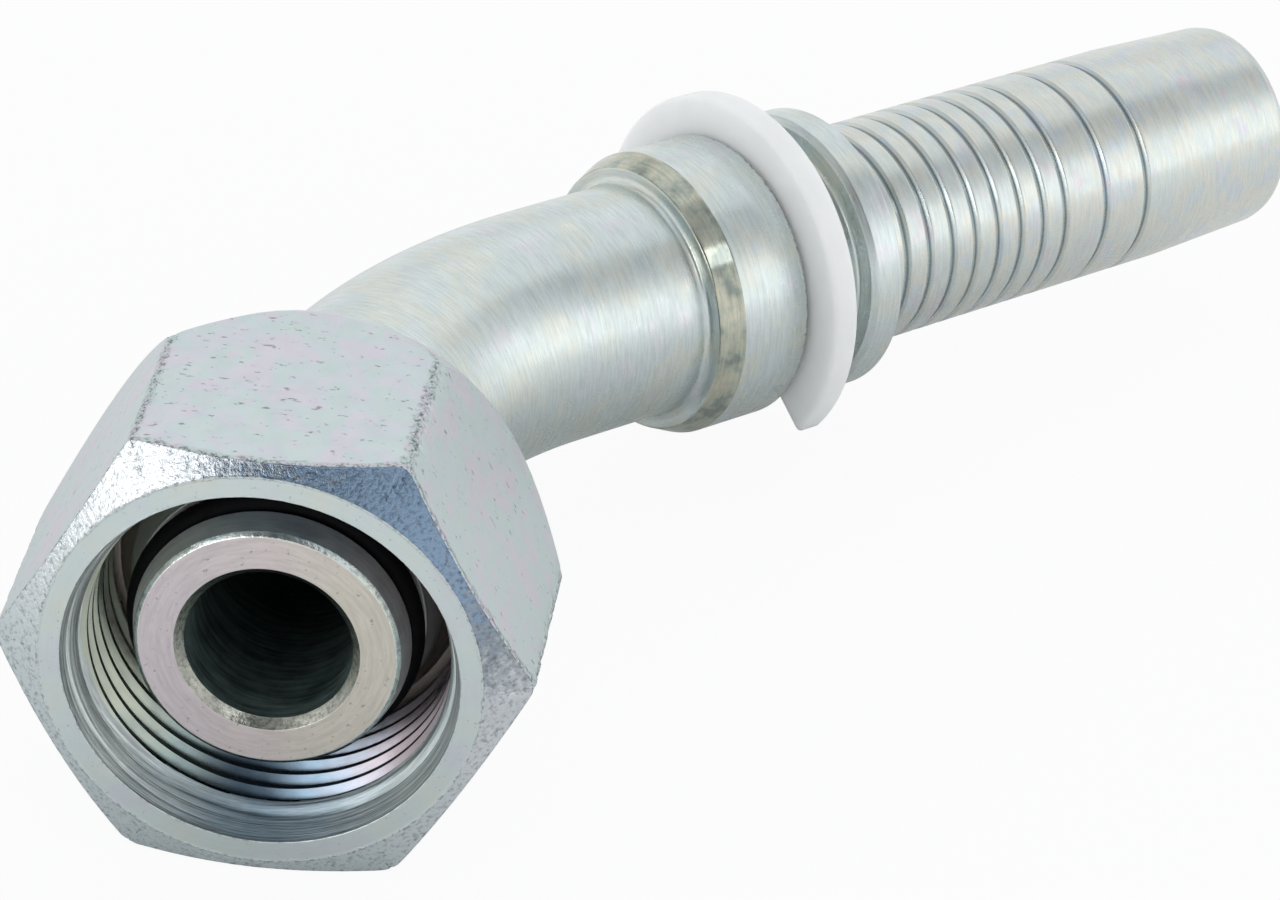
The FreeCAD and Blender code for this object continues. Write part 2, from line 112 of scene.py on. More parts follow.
# %% [markdown]
# ## Helpers for node trees
#
# Geometry and shader trees are built in the same way, so one small function adds a node, sets its
# properties and fills its inputs with plain values or with links from other nodes. A geometry tree
# gets its inputs from the names and values that it is baked with, and leaves a plain mesh behind.

# %% Node helpers


def add(tree, kind, feeds=None, **settings):
    """New node with its properties set and its inputs, by name or number, given values or links."""
    node = tree.nodes.new(kind)
    for name, setting in settings.items():
        setattr(node, name, setting)
    for key, feed in (feeds or {}).items():
        if isinstance(feed, bpy.types.NodeSocket):
            tree.links.new(feed, node.inputs[key])
        else:
            node.inputs[key].default_value = feed
    return node


def calc(tree, operation, *feeds):
    """Result of a math node."""
    return add(tree, "ShaderNodeMath", dict(enumerate(feeds)), operation=operation).outputs[0]


def vector(tree, operation, *feeds, out=0):
    """Result of a vector math node."""
    return add(tree, "ShaderNodeVectorMath", dict(enumerate(feeds)), operation=operation).outputs[out]


def join(tree, *parts):
    """Vector of two or three numbers."""
    return add(tree, "ShaderNodeCombineXYZ", dict(enumerate(parts))).outputs[0]


def emptied(holder):
    """Node tree of a material or a world, without its first nodes."""
    holder.use_nodes = True
    holder.node_tree.nodes.clear()
    return holder.node_tree


def store_lathe(tree, geometry, *place):
    """Store each point's place on the lathe: the distance along it and the direction round it."""
    feeds = {"Geometry": geometry, "Name": "lathe", "Value": join(tree, *place)}
    return add(tree, "GeometryNodeStoreNamedAttribute", feeds,
               data_type="FLOAT_VECTOR", domain="POINT").outputs[0]


KINDS = {float: "Float", int: "Int", bpy.types.Object: "Object", bpy.types.Material: "Material"}


def bake(name, maker, values):
    """Object whose plain mesh is what a maker's tree makes from the named values, material last."""
    tree = bpy.data.node_groups.new(maker.__name__, "GeometryNodeTree")
    identifiers = {}
    for label, value in values.items():
        kind = f"NodeSocket{KINDS[type(value)]}"
        socket = tree.interface.new_socket(label, in_out="INPUT", socket_type=kind)
        identifiers[label] = socket.identifier
    tree.interface.new_socket("Geometry", in_out="OUTPUT", socket_type="NodeSocketGeometry")
    *given, material = add(tree, "NodeGroupInput").outputs[:len(values)]
    real = add(tree, "GeometryNodeRealizeInstances", {0: maker(tree, *given)}).outputs[0]
    dressed = add(tree, "GeometryNodeSetMaterial", {"Geometry": real, "Material": material})
    add(tree, "NodeGroupOutput", {0: dressed.outputs[0]})

    piece = new_object(name, bpy.data.meshes.new(name))
    modifier = piece.modifiers.new("maker", "NODES")
    modifier.node_group = tree
    for label, value in values.items():
        modifier[identifiers[label]] = value
    evaluated = piece.evaluated_get(bpy.context.evaluated_depsgraph_get())
    mesh = bpy.data.meshes.new_from_object(evaluated)
    piece.modifiers.remove(modifier)
    piece.data = mesh
    return piece


# %% [markdown]
# ## Zinc-plated steel
#
# Clear zinc plating is a bright, slightly milky metal. Its film is thin enough to split light, so
# large soft patches lean to lilac, turquoise, mint or straw. Under it the steel keeps its history:
# fine rings where a lathe tool ran, small dark pits and strokes where the bar was rolled, chips
# along the edges where it was handled. A small class collects these marks. Each method adds one kind
# of mark to the colour and to the height, so every face is the same metal with its own history.
# Two methods paint shade instead: a line in the bottom of each groove, partly a blue tint and partly
# painted shade, and a darkening deep in a bore.
#
# Turning rings follow the piece round its bend. The pieces carry an attribute, lathe, for that: the
# distance along the outline and the direction round the axis, on a circle of ten millimetres, as if
# the piece were still straight. All marks are measured in millimetres.

# %% Noise and colour helpers
TO_MM = 1000.0
LATHE_R = 10.0
WHITE = (1.0, 1.0, 1.0, 1.0)
BROAD_SHARE = 0.15
ROUND_WANDER = 0.6
CHIP_DRIFT = 2.2
GRAIN_SCALE = 6.0
GRAIN_DEPTH = 0.0015
GLOSS_SCALE = 0.6
GLOSS_WANDER = 0.05


def coordinates_in_mm(tree):
    """Object coordinates in millimetres."""
    place = add(tree, "ShaderNodeTexCoord").outputs["Object"]
    return vector(tree, "MULTIPLY", place, (TO_MM, TO_MM, TO_MM))


def ramp(tree, factor, tones):
    """Colour ramp through a list of tones, each a position and a colour."""
    node = add(tree, "ShaderNodeValToRGB", {0: factor})
    elements = node.color_ramp.elements
    while len(elements) < len(tones):
        elements.new(0.5)
    for element, (position, colour) in zip(elements, tones):
        element.position = position
        element.color = (*colour, 1.0)
    return node.outputs[0]


def spread(tree, factor, low, high, floor=0.0, top=1.0):
    """Factor spread from the range low..high over floor..top, and held there."""
    feeds = {0: factor, 1: low, 2: high, 3: floor, 4: top}
    return add(tree, "ShaderNodeMapRange", feeds).outputs[0]


def marks(tree, place, scale, stretch=(1.0, 1.0, 1.0), detail=2.0, rough=0.5):
    """Noise in marks per millimetre, stretched along the axes."""
    stretched = vector(tree, "MULTIPLY", place, stretch)
    feeds = {"Vector": stretched, "Scale": scale, "Detail": detail, "Roughness": rough}
    return add(tree, "ShaderNodeTexNoise", feeds).outputs[0]


def multiply(tree, colour, factor, other):
    """Colour multiplied by another, by a factor."""
    feeds = {0: factor, 6: colour, 7: other}
    return add(tree, "ShaderNodeMix", feeds, data_type="RGBA", blend_type="MULTIPLY").outputs[2]


def attribute(tree, name, part):
    """Value of an attribute of the mesh: its vector or its single number."""
    return add(tree, "ShaderNodeAttribute", attribute_name=name).outputs[part]


# %% Steel finish


class Finish:
    """A steel finish that is being built up: its node tree, its colour and its height in mm."""

    def __init__(self, name):
        self.material = bpy.data.materials.new(name)
        self.tree = emptied(self.material)
        self.place = coordinates_in_mm(self.tree)
        self.lathe = attribute(self.tree, "lathe", "Vector")
        self.along = add(self.tree, "ShaderNodeSeparateXYZ", {0: self.lathe}).outputs[0]
        self.height = 0.0

    def film(self, tones, scale=0.2, detail=3.0):
        """Soft patches in which the thin film takes different tones."""
        field = marks(self.tree, self.place, scale, detail=detail, rough=0.6)
        self.colour = ramp(self.tree, field, tones)
        return self

    def bands(self, tones, scale, arc):
        """Bands of different tones, drawn out round the piece by the lathe."""
        field = marks(self.tree, self.lathe, scale, stretch=(1.0, arc, arc), detail=3.0, rough=0.6)
        self.colour = ramp(self.tree, field, tones)
        return self

    def round_film(self, tones, way=(0.0, 1.0, 0.0), scale=0.3):
        """Tones that change across the piece in a direction, seen along its axis."""
        side = vector(self.tree, "DOT_PRODUCT", self.lathe, way, out="Value")
        wander = marks(self.tree, self.place, scale, detail=4.0, rough=0.6)
        side = calc(self.tree, "MULTIPLY_ADD", wander, ROUND_WANDER * LATHE_R, side)
        low, high = (ROUND_WANDER / 2 - 1.0) * LATHE_R, (ROUND_WANDER / 2 + 1.0) * LATHE_R
        self.colour = ramp(self.tree, spread(self.tree, side, low, high), tones)
        return self

    def darken(self, factor, shade):
        """Multiply the colour by a shade of grey where the factor is high."""
        self.colour = multiply(self.tree, self.colour, factor, (shade, shade, shade, 1.0))

    def lift(self, field, depth):
        """Add a field to the height, with its depth in millimetres."""
        self.height = calc(self.tree, "MULTIPLY_ADD", field, depth, self.height)

    def rings(self, depth, shade=0.9, scale=4.0, arc=0.10):
        """Turning rings: fine lines along the cut, and broader waves under them."""
        fine = marks(self.tree, self.lathe, scale, stretch=(1.0, arc, arc), detail=4.0, rough=0.7)
        broad = marks(self.tree, self.lathe, scale * BROAD_SHARE, stretch=(1.0, 0.05, 0.05))
        self.darken(spread(self.tree, fine, 0.6, 0.35), shade)
        self.lift(fine, depth)
        self.lift(broad, depth * 2.0)
        return self

    def pits(self, depth, shade, scale=1.6, stretch=(1.0, 1.0, 1.0), low=0.66, high=0.73, zone=None):
        """Small dark pits or strokes, if wanted only in a zone of the lathe's length."""
        field = marks(self.tree, self.place, scale, stretch=stretch, detail=3.0, rough=0.6)
        spots = spread(self.tree, field, low, high)
        if zone:
            start, end, blur = zone
            inside = calc(self.tree, "MINIMUM", spread(self.tree, self.along, start, start + blur),
                          spread(self.tree, self.along, end, end - blur))
            spots = calc(self.tree, "MULTIPLY", spots, inside)
        self.darken(spots, shade)
        self.lift(spots, -depth)
        return self

    def fade(self, start, end, shade):
        """Painted shade: darker from one length of the lathe to another, standing in for the shade
        deep in a bore.
        """
        self.darken(spread(self.tree, self.along, start, end), shade)
        return self

    def dents(self, depth, scale, shade=1.0):
        """Uneven, hammered-looking surface."""
        field = marks(self.tree, self.place, scale, detail=4.0, rough=0.62)
        if shade < 1.0:
            self.darken(spread(self.tree, field, 0.5, 0.3), shade)
        self.lift(field, depth)
        return self

    def groove_tint_and_shade(self, width, shade):
        """Fine line where a groove is deepest, which the attribute seam measures: partly a blue tint,
        partly painted shade in the groove.
        """
        away = attribute(self.tree, "seam", "Fac")
        factor = spread(self.tree, away, width, 0.3 * width)
        self.colour = multiply(self.tree, self.colour, factor, (*shade, 1.0))
        return self

    def chips(self, width, shade, depth, scale=2.4):
        """Chipped edges: specks close to the edges, to which the attribute edge measures."""
        away = attribute(self.tree, "edge", "Fac")
        drift = marks(self.tree, self.place, 0.9, detail=3.0)
        away = calc(self.tree, "ADD", away, CHIP_DRIFT / 2 * width)
        away = calc(self.tree, "MULTIPLY_ADD", drift, -CHIP_DRIFT * width, away)
        near = spread(self.tree, away, width, 0.35 * width)
        field = marks(self.tree, self.place, scale, detail=4.0, rough=0.65)
        spots = calc(self.tree, "MULTIPLY", near, spread(self.tree, field, 0.5, 0.58))
        self.darken(spots, shade)
        self.lift(calc(self.tree, "MULTIPLY", near, field), depth)
        return self

    def steel(self, roughness):
        """End the finish as metal, its gloss slightly uneven."""
        tree = self.tree
        self.lift(marks(tree, self.place, GRAIN_SCALE, detail=3.0, rough=0.6), GRAIN_DEPTH)
        bump = add(tree, "ShaderNodeBump", {"Height": self.height, "Strength": 1.0, "Distance": MM})
        gloss = spread(tree, marks(tree, self.place, GLOSS_SCALE), 0.3, 0.7,
                       roughness - GLOSS_WANDER, roughness + GLOSS_WANDER)
        feeds = {"Base Color": self.colour, "Metallic": 1.0, "Roughness": gloss,
                 "Normal": bump.outputs[0]}
        shader = add(tree, "ShaderNodeBsdfPrincipled", feeds)
        add(tree, "ShaderNodeOutputMaterial", {0: shader.outputs[0]})
        return self.material


# %% [markdown]
# ## Tones and finishes
#
# Every kind of face has its own tones. Turned faces show rings. The outside of the nut is rolled
# bar, with strokes, pits and chipped edges. Burnished edges are glossier; the collar's edge is darker
# olive, and the bore's edge has dark tones that paint the dark reflection it shows. The cone's flank
# and the shoulder are rougher, with light tones that paint light bounced about inside the nut, and
# the drilled bore gets painted shade that grows darker towards the inside.

# %% Tones of the film
TURNED_TONES = (
    (0.32, (0.72, 0.73, 0.75)), (0.43, (0.66, 0.73, 0.73)), (0.52, (0.68, 0.74, 0.71)),
    (0.60, (0.72, 0.74, 0.68)), (0.70, (0.66, 0.73, 0.74)),
)
FLAT_TONES = (
    (0.34, (0.66, 0.62, 0.68)), (0.44, (0.64, 0.64, 0.685)), (0.52, (0.585, 0.66, 0.675)),
    (0.60, (0.585, 0.67, 0.65)), (0.68, (0.64, 0.64, 0.69)),
)
FACE_TONES = ((0.36, (0.66, 0.70, 0.73)), (0.50, (0.65, 0.73, 0.72)), (0.64, (0.68, 0.73, 0.69)))
OLIVE_TONES = ((0.36, (0.33, 0.37, 0.34)), (0.5, (0.52, 0.55, 0.46)), (0.64, (0.64, 0.62, 0.50)))
# Tones that darken and turn blue towards the upper right: partly the film's blue, partly a painted
# reflection of the dark open front of the tent.
CHAMFER_TINT_AND_PAINTED_REFLECTION_TONES = (
    (0.2, (0.64, 0.71, 0.72)), (0.66, (0.70, 0.73, 0.75)), (0.78, (0.64, 0.67, 0.70)),
    (0.88, (0.30, 0.34, 0.38)), (0.98, (0.24, 0.34, 0.47)),
)
TAIL_TONES = (
    (0.30, (0.70, 0.66, 0.67)), (0.40, (0.65, 0.71, 0.70)), (0.47, (0.68, 0.72, 0.68)),
    (0.54, (0.71, 0.71, 0.65)), (0.61, (0.63, 0.70, 0.72)), (0.70, (0.71, 0.67, 0.70)),
)
TIP_TONES = ((0.1, (0.69, 0.63, 0.65)), (0.45, (0.72, 0.65, 0.64)), (0.8, (0.72, 0.68, 0.60)))
# Dark olive tones paint the dark reflection that the bore's edge shows.
BORE_EDGE_PAINTED_REFLECTION_TONES = ((0.35, (0.42, 0.43, 0.38)), (0.65, (0.58, 0.58, 0.51)))
# Light tones paint the light bounced about inside the nut onto the cone's flank.
FLANK_PAINTED_LIGHT_TONES = ((0.35, (0.78, 0.82, 0.81)), (0.65, (0.84, 0.86, 0.85)))
# Light tan tones: a tan tint, and painted light for the light bounced about inside the nut, on the
# nipple's shoulder and the nut's inner walls.
SHOULDER_PAINTED_LIGHT_TONES = ((0.35, (0.78, 0.70, 0.65)), (0.65, (0.80, 0.76, 0.70)))
# Painted light and shade round the thread: lighter on the left, darkest at the top and bottom, over
# olive, blue and pink tints.
THREAD_TINT_AND_PAINTED_SHADE_TONES = (
    (0.08, (0.56, 0.60, 0.50)), (0.25, (0.42, 0.52, 0.51)), (0.42, (0.17, 0.25, 0.34)),
    (0.62, (0.19, 0.26, 0.33)), (0.85, (0.38, 0.33, 0.35)),
)
# Painted light and shade round the lead-in: lightest on the left, light on the right, darkest at the
# top and bottom, over green and blue tints.
LEAD_TINT_AND_PAINTED_LIGHT_TONES = (
    (0.1, (0.82, 0.88, 0.87)), (0.3, (0.62, 0.72, 0.76)), (0.5, (0.36, 0.48, 0.57)),
    (0.7, (0.46, 0.55, 0.60)), (0.9, (0.72, 0.79, 0.79)),
)
BORE_TONES = ((0.35, (0.38, 0.52, 0.51)), (0.65, (0.48, 0.62, 0.60)))

# %% Steel finishes
turned_steel = Finish("turned_steel").film(TURNED_TONES, scale=0.2, detail=5.0).rings(
    0.011, 0.85).dents(0.008, 1.2).pits(
    0.01, 0.5, zone=(8.0, 26.0, 6.0), stretch=(1.0, 0.6, 1.0)).chips(0.22, 0.45, 0.03).steel(0.29)
# The tail's grooves get a line in their bottoms, partly a blue tint and partly painted shade.
tail_steel = Finish("tail_steel").bands(TAIL_TONES, scale=0.3, arc=0.6).rings(0.01, 0.88).groove_tint_and_shade(
    0.17, (0.42, 0.50, 0.58)).steel(0.28)
olive_steel = Finish("collar_edge_steel").film(OLIVE_TONES, scale=0.4).rings(0.006, 0.75).steel(0.13)
tip_steel = Finish("cone_tip_steel").round_film(TIP_TONES).rings(0.003, 0.85, scale=3.0).pits(
    0.006, 0.6, scale=1.8, low=0.63, high=0.7).steel(0.33)
bore_edge_steel_painted_reflection = Finish("bore_edge_steel_painted_reflection").film(BORE_EDGE_PAINTED_REFLECTION_TONES).rings(0.01, 0.7).dents(
    0.05, 2.2, 0.5).steel(0.2)
flank_steel_painted_light = Finish("cone_flank_steel").film(FLANK_PAINTED_LIGHT_TONES).rings(0.004, 0.85, scale=3.0).steel(0.55)
shoulder_steel_painted_light = Finish("shoulder_steel_painted_light").film(SHOULDER_PAINTED_LIGHT_TONES).rings(0.004, 0.85).steel(0.55)
nicked_steel = Finish("nicked_edge_steel").film(TURNED_TONES).dents(0.06, 1.5, 0.5).steel(0.2)
# Painted shade darkens the bore from 2 to 18 mm behind the cone's tip.
bore_steel_painted_shade = Finish("drilled_steel_painted_shade").film(BORE_TONES).rings(
    0.008, 0.4, scale=2.0, arc=0.05).fade(58.0, 42.0, 0.3).steel(0.5)
flat_steel = Finish("hexagon_steel").film(FLAT_TONES, scale=0.32, detail=4.0).dents(
    0.008, 3.0).pits(
    0.015, 0.5, scale=1.3, stretch=(1.9, 0.8, 1.0), low=0.64, high=0.70).chips(
    0.6, 0.38, 0.12, scale=3.2).steel(0.36)
face_steel = Finish("nut_face_steel").film(FACE_TONES).rings(0.0015, 0.97).pits(
    0.006, 0.7, scale=2.6, low=0.66, high=0.72).chips(0.2, 0.7, 0.05).steel(0.33)
chamfer_steel_painted_reflection = Finish("chamfer_steel_painted_reflection").round_film(
    CHAMFER_TINT_AND_PAINTED_REFLECTION_TONES, way=(0.0, 0.57, 0.82), scale=1.5).dents(0.09, 2.6, 0.5).chips(
    0.12, 0.5, 0.03).steel(0.16)
lead_steel_painted_light_and_shade = Finish("lead_in_steel_painted_light_and_shade").round_film(LEAD_TINT_AND_PAINTED_LIGHT_TONES).rings(
    0.12, 0.5, scale=4.5, arc=0.03).steel(0.48)
thread_steel_painted_shade = Finish("threaded_steel_painted_shade").round_film(THREAD_TINT_AND_PAINTED_SHADE_TONES).rings(
    0.003, 0.85, scale=2.5).steel(0.24)

# %% [markdown]
# ## Turned outlines
#
# A lathe leaves no perfectly sharp edge. The outline of a turned piece is therefore a short list of
# corners, each with the radius of its edge, and the corners become small curves. Long stretches
# get extra points so that they can be bent, and one point close to each end, which keeps a flat
# face flat in smooth shading.

# %% Outline helpers
ARC_STEPS = 3
# An edge takes at most this share of the stretches beside it
LARGEST_EDGE = 0.45
EDGE_MARGIN = 0.12
LONGEST = 1.5


def rounded(corners, closed=True):
    """Points of an outline whose corners, given as distance, radius and edge radius, are curved."""
    points = []
    count = len(corners)
    for k, (along, radius, edge) in enumerate(corners):
        here = Vector((along, radius))
        if edge == 0 or (not closed and k in (0, count - 1)):
            points.append(here)
            continue
        before = Vector(corners[k - 1][:2]) - here
        after = Vector(corners[(k + 1) % count][:2]) - here
        reach = edge / math.tan(before.angle(after) / 2)
        reach = min(reach, LARGEST_EDGE * before.length, LARGEST_EDGE * after.length)
        start = here + before.normalized() * reach
        end = here + after.normalized() * reach
        for step in range(ARC_STEPS + 1):
            part = step / ARC_STEPS
            points.append(start.lerp(here, part).lerp(here.lerp(end, part), part))
    return points


def divided(points, longest):
    """Closed outline with long stretches divided and a point close to each end of them."""
    result = []
    for here, after in zip(points, points[1:] + points[:1]):
        result.append(here)
        length = (after - here).length
        if length > 4 * EDGE_MARGIN:
            parts = math.ceil(length / longest)
            shares = [EDGE_MARGIN / length, 1 - EDGE_MARGIN / length]
            shares += [k / parts for k in range(1, parts)]
            result.extend(here.lerp(after, share) for share in sorted(shares))
    return result


def lengths_along(points):
    """Distance of each point of an outline from its first point."""
    steps = [0.0] + [(b - a).length for a, b in zip(points, points[1:])]
    return np.cumsum(steps)


# %% [markdown]
# ## The nipple
#
# The real nipple is one piece: turned straight, drilled, and bent afterwards. The outline below
# runs from the sealing cone past the shoulder, the collars and the hose grooves to the nose, and
# back through the bore. All distances are measured along the centre line from the cone's tip.

# %% Outline of the nipple
BORE_R = mounts["tail_bore"]["dims"]["r_mm"]
TAIL_R = mounts["hose_tail"]["dims"]["r_mm"]
TUBE_R = 10.1
BEND_RADIUS = 48.0
TIP_TO_APEX = 42.0
TANGENT = BEND_RADIUS * math.tan(BEND / 2)
NECK_LENGTH = TIP_TO_APEX - TANGENT
BORE_CHAMFER = 0.7
TIP_R = 10.2
TIP_EDGE = 0.3
CONE_SLOPE = math.tan(math.radians(12.0))
O_RING_GROOVE = (2.5, 5.6, 9.5)
CONE_LENGTH = 9.6
CONE_LAND = 0.9
SHOULDER_R = 13.5
SHOULDER_START = CONE_LENGTH + CONE_LAND + SHOULDER_R - TIP_R - CONE_LENGTH * CONE_SLOPE
SHOULDER_LENGTH = 3.2
COLLAR = 29.7
COLLAR_FACE_R = 11.5
COLLAR_R = 12.4
COLLAR_CHAMFER = 2.1
COLLAR_END = 38.7
GROOVE_R = 10.4
BACK_COLLAR = 46.2
BACK_COLLAR_R = 12.45
BACK_CHAMFER = 0.5
TAIL_START = 49.3
TAIL_SLOPE = 1.2
TAIL_END = 99.7
FIRST_GROOVE = 3.3
FINE_PITCH = 2.69
FINE_COUNT = 8
COARSE_PITCH = 5.0
COARSE_COUNT = 2
TOOTH_DEPTH = 0.36
TOOTH_SLOPE = 0.7
TOOTH_WALL = 0.25
NOSE_LENGTH = 12.7
NOSE_R = 9.3
NOSE_ROUND = 2.2
# The outline begins and ends so deep in the bore that its seam can't be seen
DEEP = 60.0


def behind_apex(distance):
    """Distance along the centre line of a point on the hose side, from its distance to the apex."""
    return NECK_LENGTH + BEND_RADIUS * BEND + distance - TANGENT


def cone_radius(distance):
    """Radius of the 24 degree cone at a distance behind its tip."""
    return TIP_R + distance * CONE_SLOPE


def groove_walls():
    """Distance of the grooves from the apex: a fine row first and two more after it."""
    walls = [TAIL_START + FIRST_GROOVE + FINE_PITCH * k for k in range(FINE_COUNT)]
    return walls + [walls[-1] + COARSE_PITCH * (k + 1) for k in range(COARSE_COUNT)]


def nipple_corners():
    """Corners of the nipple's outline: distance, radius and edge radius."""
    groove_front, groove_back, groove_r = O_RING_GROOVE
    cone_end_r = cone_radius(CONE_LENGTH)
    shoulder_back = SHOULDER_START + SHOULDER_LENGTH
    neck_side = [
        (DEEP, BORE_R, 0.0),
        (BORE_CHAMFER, BORE_R, 0.06),
        (0.0, BORE_R + BORE_CHAMFER, 0.06),
        (0.0, TIP_R - TIP_EDGE, 0.2),
        (TIP_EDGE, cone_radius(TIP_EDGE), 0.15),
        (groove_front, cone_radius(groove_front), 0.1),
        (groove_front, groove_r, 0.15),
        (groove_back, groove_r, 0.15),
        (groove_back, cone_radius(groove_back), 0.1),
        (CONE_LENGTH, cone_end_r, 0.3),
        (CONE_LENGTH + CONE_LAND, cone_end_r, 0.25),
        (SHOULDER_START, SHOULDER_R, 0.25),
        (shoulder_back, SHOULDER_R, 0.3),
        (shoulder_back + SHOULDER_R - TUBE_R, TUBE_R, 1.0),
    ]
    hose_side = [
        (COLLAR, TUBE_R, 1.2),
        (COLLAR, COLLAR_FACE_R, 0.22),
        (COLLAR + COLLAR_CHAMFER, COLLAR_R, 0.5),
        (COLLAR_END, COLLAR_R, 0.2),
        (COLLAR_END, GROOVE_R, 0.3),
        (BACK_COLLAR, GROOVE_R, 0.3),
        (BACK_COLLAR, BACK_COLLAR_R - BACK_CHAMFER, 0.15),
        (BACK_COLLAR + BACK_CHAMFER, BACK_COLLAR_R, 0.15),
        (TAIL_START, BACK_COLLAR_R, 0.2),
        (TAIL_START + TAIL_SLOPE, TAIL_R, 0.3),
    ]
    for wall in groove_walls():
        hose_side += [(wall - TOOTH_SLOPE, TAIL_R, 0.25), (wall, TAIL_R - TOOTH_DEPTH, 0.04),
                      (wall + TOOTH_WALL, TAIL_R, 0.15)]
    hose_side += [
        (TAIL_END - NOSE_LENGTH, TAIL_R, 3.0),
        (TAIL_END, NOSE_R, NOSE_ROUND),
        (TAIL_END, BORE_R + BORE_CHAMFER, 0.06),
        (TAIL_END - BORE_CHAMFER, BORE_R, 0.06),
    ]
    return neck_side + [(behind_apex(distance), radius, edge) for distance, radius, edge in hose_side]


nipple_outline = divided(rounded(nipple_corners()), LONGEST)


def length_at(distance, radius):
    """Length along the nipple's outline at which it passes a corner."""
    corner = Vector((distance, radius))
    nearest = min(range(len(nipple_outline)), key=lambda k: (nipple_outline[k] - corner).length)
    return lengths_along(nipple_outline)[nearest]


# Corners of the outline at which the next finish begins
NIPPLE_FINISHES = (
    (DEEP, BORE_R, bore_steel_painted_shade),
    (BORE_CHAMFER, BORE_R, bore_edge_steel_painted_reflection),
    (0.0, BORE_R + BORE_CHAMFER, tip_steel),
    (0.0, TIP_R - TIP_EDGE, nicked_steel),
    (TIP_EDGE, cone_radius(TIP_EDGE), flank_steel_painted_light),
    (CONE_LENGTH, cone_radius(CONE_LENGTH), shoulder_steel_painted_light),
    (SHOULDER_START, SHOULDER_R, turned_steel),
    (behind_apex(COLLAR), COLLAR_FACE_R, olive_steel),
    (behind_apex(COLLAR + COLLAR_CHAMFER), COLLAR_R, turned_steel),
    (behind_apex(TAIL_START), BACK_COLLAR_R, tail_steel),
    (behind_apex(TAIL_END - BORE_CHAMFER), BORE_R, bore_steel_painted_shade),
)

# %% [markdown]
# ## A lathe with a bend in Geometry Nodes
#
# A screw modifier would turn the outline, but not bend it. The tree below does both, as the
# workshop does. It sweeps the outline round a small circle, which gives the straight turned piece,
# and stores each point's place on the lathe for the finish. Then it moves every point: those in
# the neck stay, those in the bend go round its centre, and those behind it follow the hose's
# direction. Last it leans the piece on the ground.

# %% Bent lathe
CORE = 1.0
NIPPLE_SIDES = 160


def bent_lathe(tree, outline, sides, neck, bend_radius, bend, lean):
    """Nodes that turn an outline object about an axis and bend it."""
    work = partial(calc, tree)
    outline = add(tree, "GeometryNodeObjectInfo", {"Object": outline}).outputs["Geometry"]
    loop = add(tree, "GeometryNodeMeshToCurve", {"Mesh": outline}).outputs[0]
    feeds = {"Resolution": sides, "Radius": CORE * MM}
    circle = add(tree, "GeometryNodeCurvePrimitiveCircle", feeds).outputs[0]
    turned = add(tree, "GeometryNodeCurveToMesh", {"Curve": circle, "Profile Curve": loop}).outputs[0]

    position = add(tree, "GeometryNodeInputPosition").outputs[0]
    side, rise, axial = add(tree, "ShaderNodeSeparateXYZ", {0: position}).outputs
    radius = vector(tree, "LENGTH", join(tree, side, rise), out="Value")
    along = add(tree, "GeometryNodeInputNamedAttribute", {"Name": "along"}, data_type="FLOAT")
    around = [work("MULTIPLY", work("DIVIDE", part, radius), LATHE_R) for part in (side, rise)]
    marked = store_lathe(tree, turned, along.outputs[0], *around)

    station = work("MULTIPLY", axial, -1.0)
    straight = work("MINIMUM", station, neck)
    past_neck = work("SUBTRACT", station, neck)
    turn = work("MINIMUM", work("MAXIMUM", work("DIVIDE", past_neck, bend_radius), 0.0), bend)
    behind = work("SUBTRACT", past_neck, work("MULTIPLY", bend_radius, bend))
    behind = work("MAXIMUM", behind, 0.0)
    inwards = work("SUBTRACT", side, bend_radius)
    back = work("MULTIPLY_ADD", inwards, work("SINE", turn), work("MULTIPLY", straight, -1.0))
    back = work("SUBTRACT", back, work("MULTIPLY", behind, work("COSINE", bend)))
    across = work("MULTIPLY_ADD", inwards, work("COSINE", turn), bend_radius)
    across = work("MULTIPLY_ADD", behind, work("SINE", bend), across)
    feeds = {"Vector": join(tree, back, across, rise), "Angle": work("MULTIPLY", lean, -1.0)}
    laid = add(tree, "ShaderNodeVectorRotate", feeds, rotation_type="X_AXIS").outputs[0]
    return add(tree, "GeometryNodeSetPosition", {"Geometry": marked, "Position": laid}).outputs[0]


def outline_object(name, points, marked):
    """Object that holds a closed outline, with the length along it and from each kind of mark."""
    mesh = bpy.data.meshes.new(name)
    count = len(points)
    places = [((point.y - CORE) * MM, point.x * MM, 0.0) for point in points]
    mesh.from_pydata(places, [(k, (k + 1) % count) for k in range(count)], [])
    lengths = lengths_along(points)
    fields = {"along": lengths}
    for kind, at in marked.items():
        fields[kind] = np.abs(lengths[:, None] - np.array(at)).min(axis=1)
    for kind, numbers in fields.items():
        mesh.attributes.new(kind, "FLOAT", "POINT").data.foreach_set("value", numbers)
    return new_object(name, mesh)


def finish_mesh(piece, angle=40.0):
    """Smooth shading that keeps edges sharper than an angle, and a check of the closed shell."""
    mesh = piece.data
    shell = bmesh.new()
    shell.from_mesh(mesh)
    bmesh.ops.recalc_face_normals(shell, faces=shell.faces)
    open_edges = sum(edge.is_boundary for edge in shell.edges)
    volume = shell.calc_volume(signed=True) / MM ** 3
    shell.to_mesh(mesh)
    shell.free()
    mesh.shade_smooth()
    mesh.set_sharp_from_angle(angle=math.radians(angle))
    print(f"{piece.name}: {len(mesh.polygons)} faces, {open_edges} open edges, {volume:.0f} mm3")


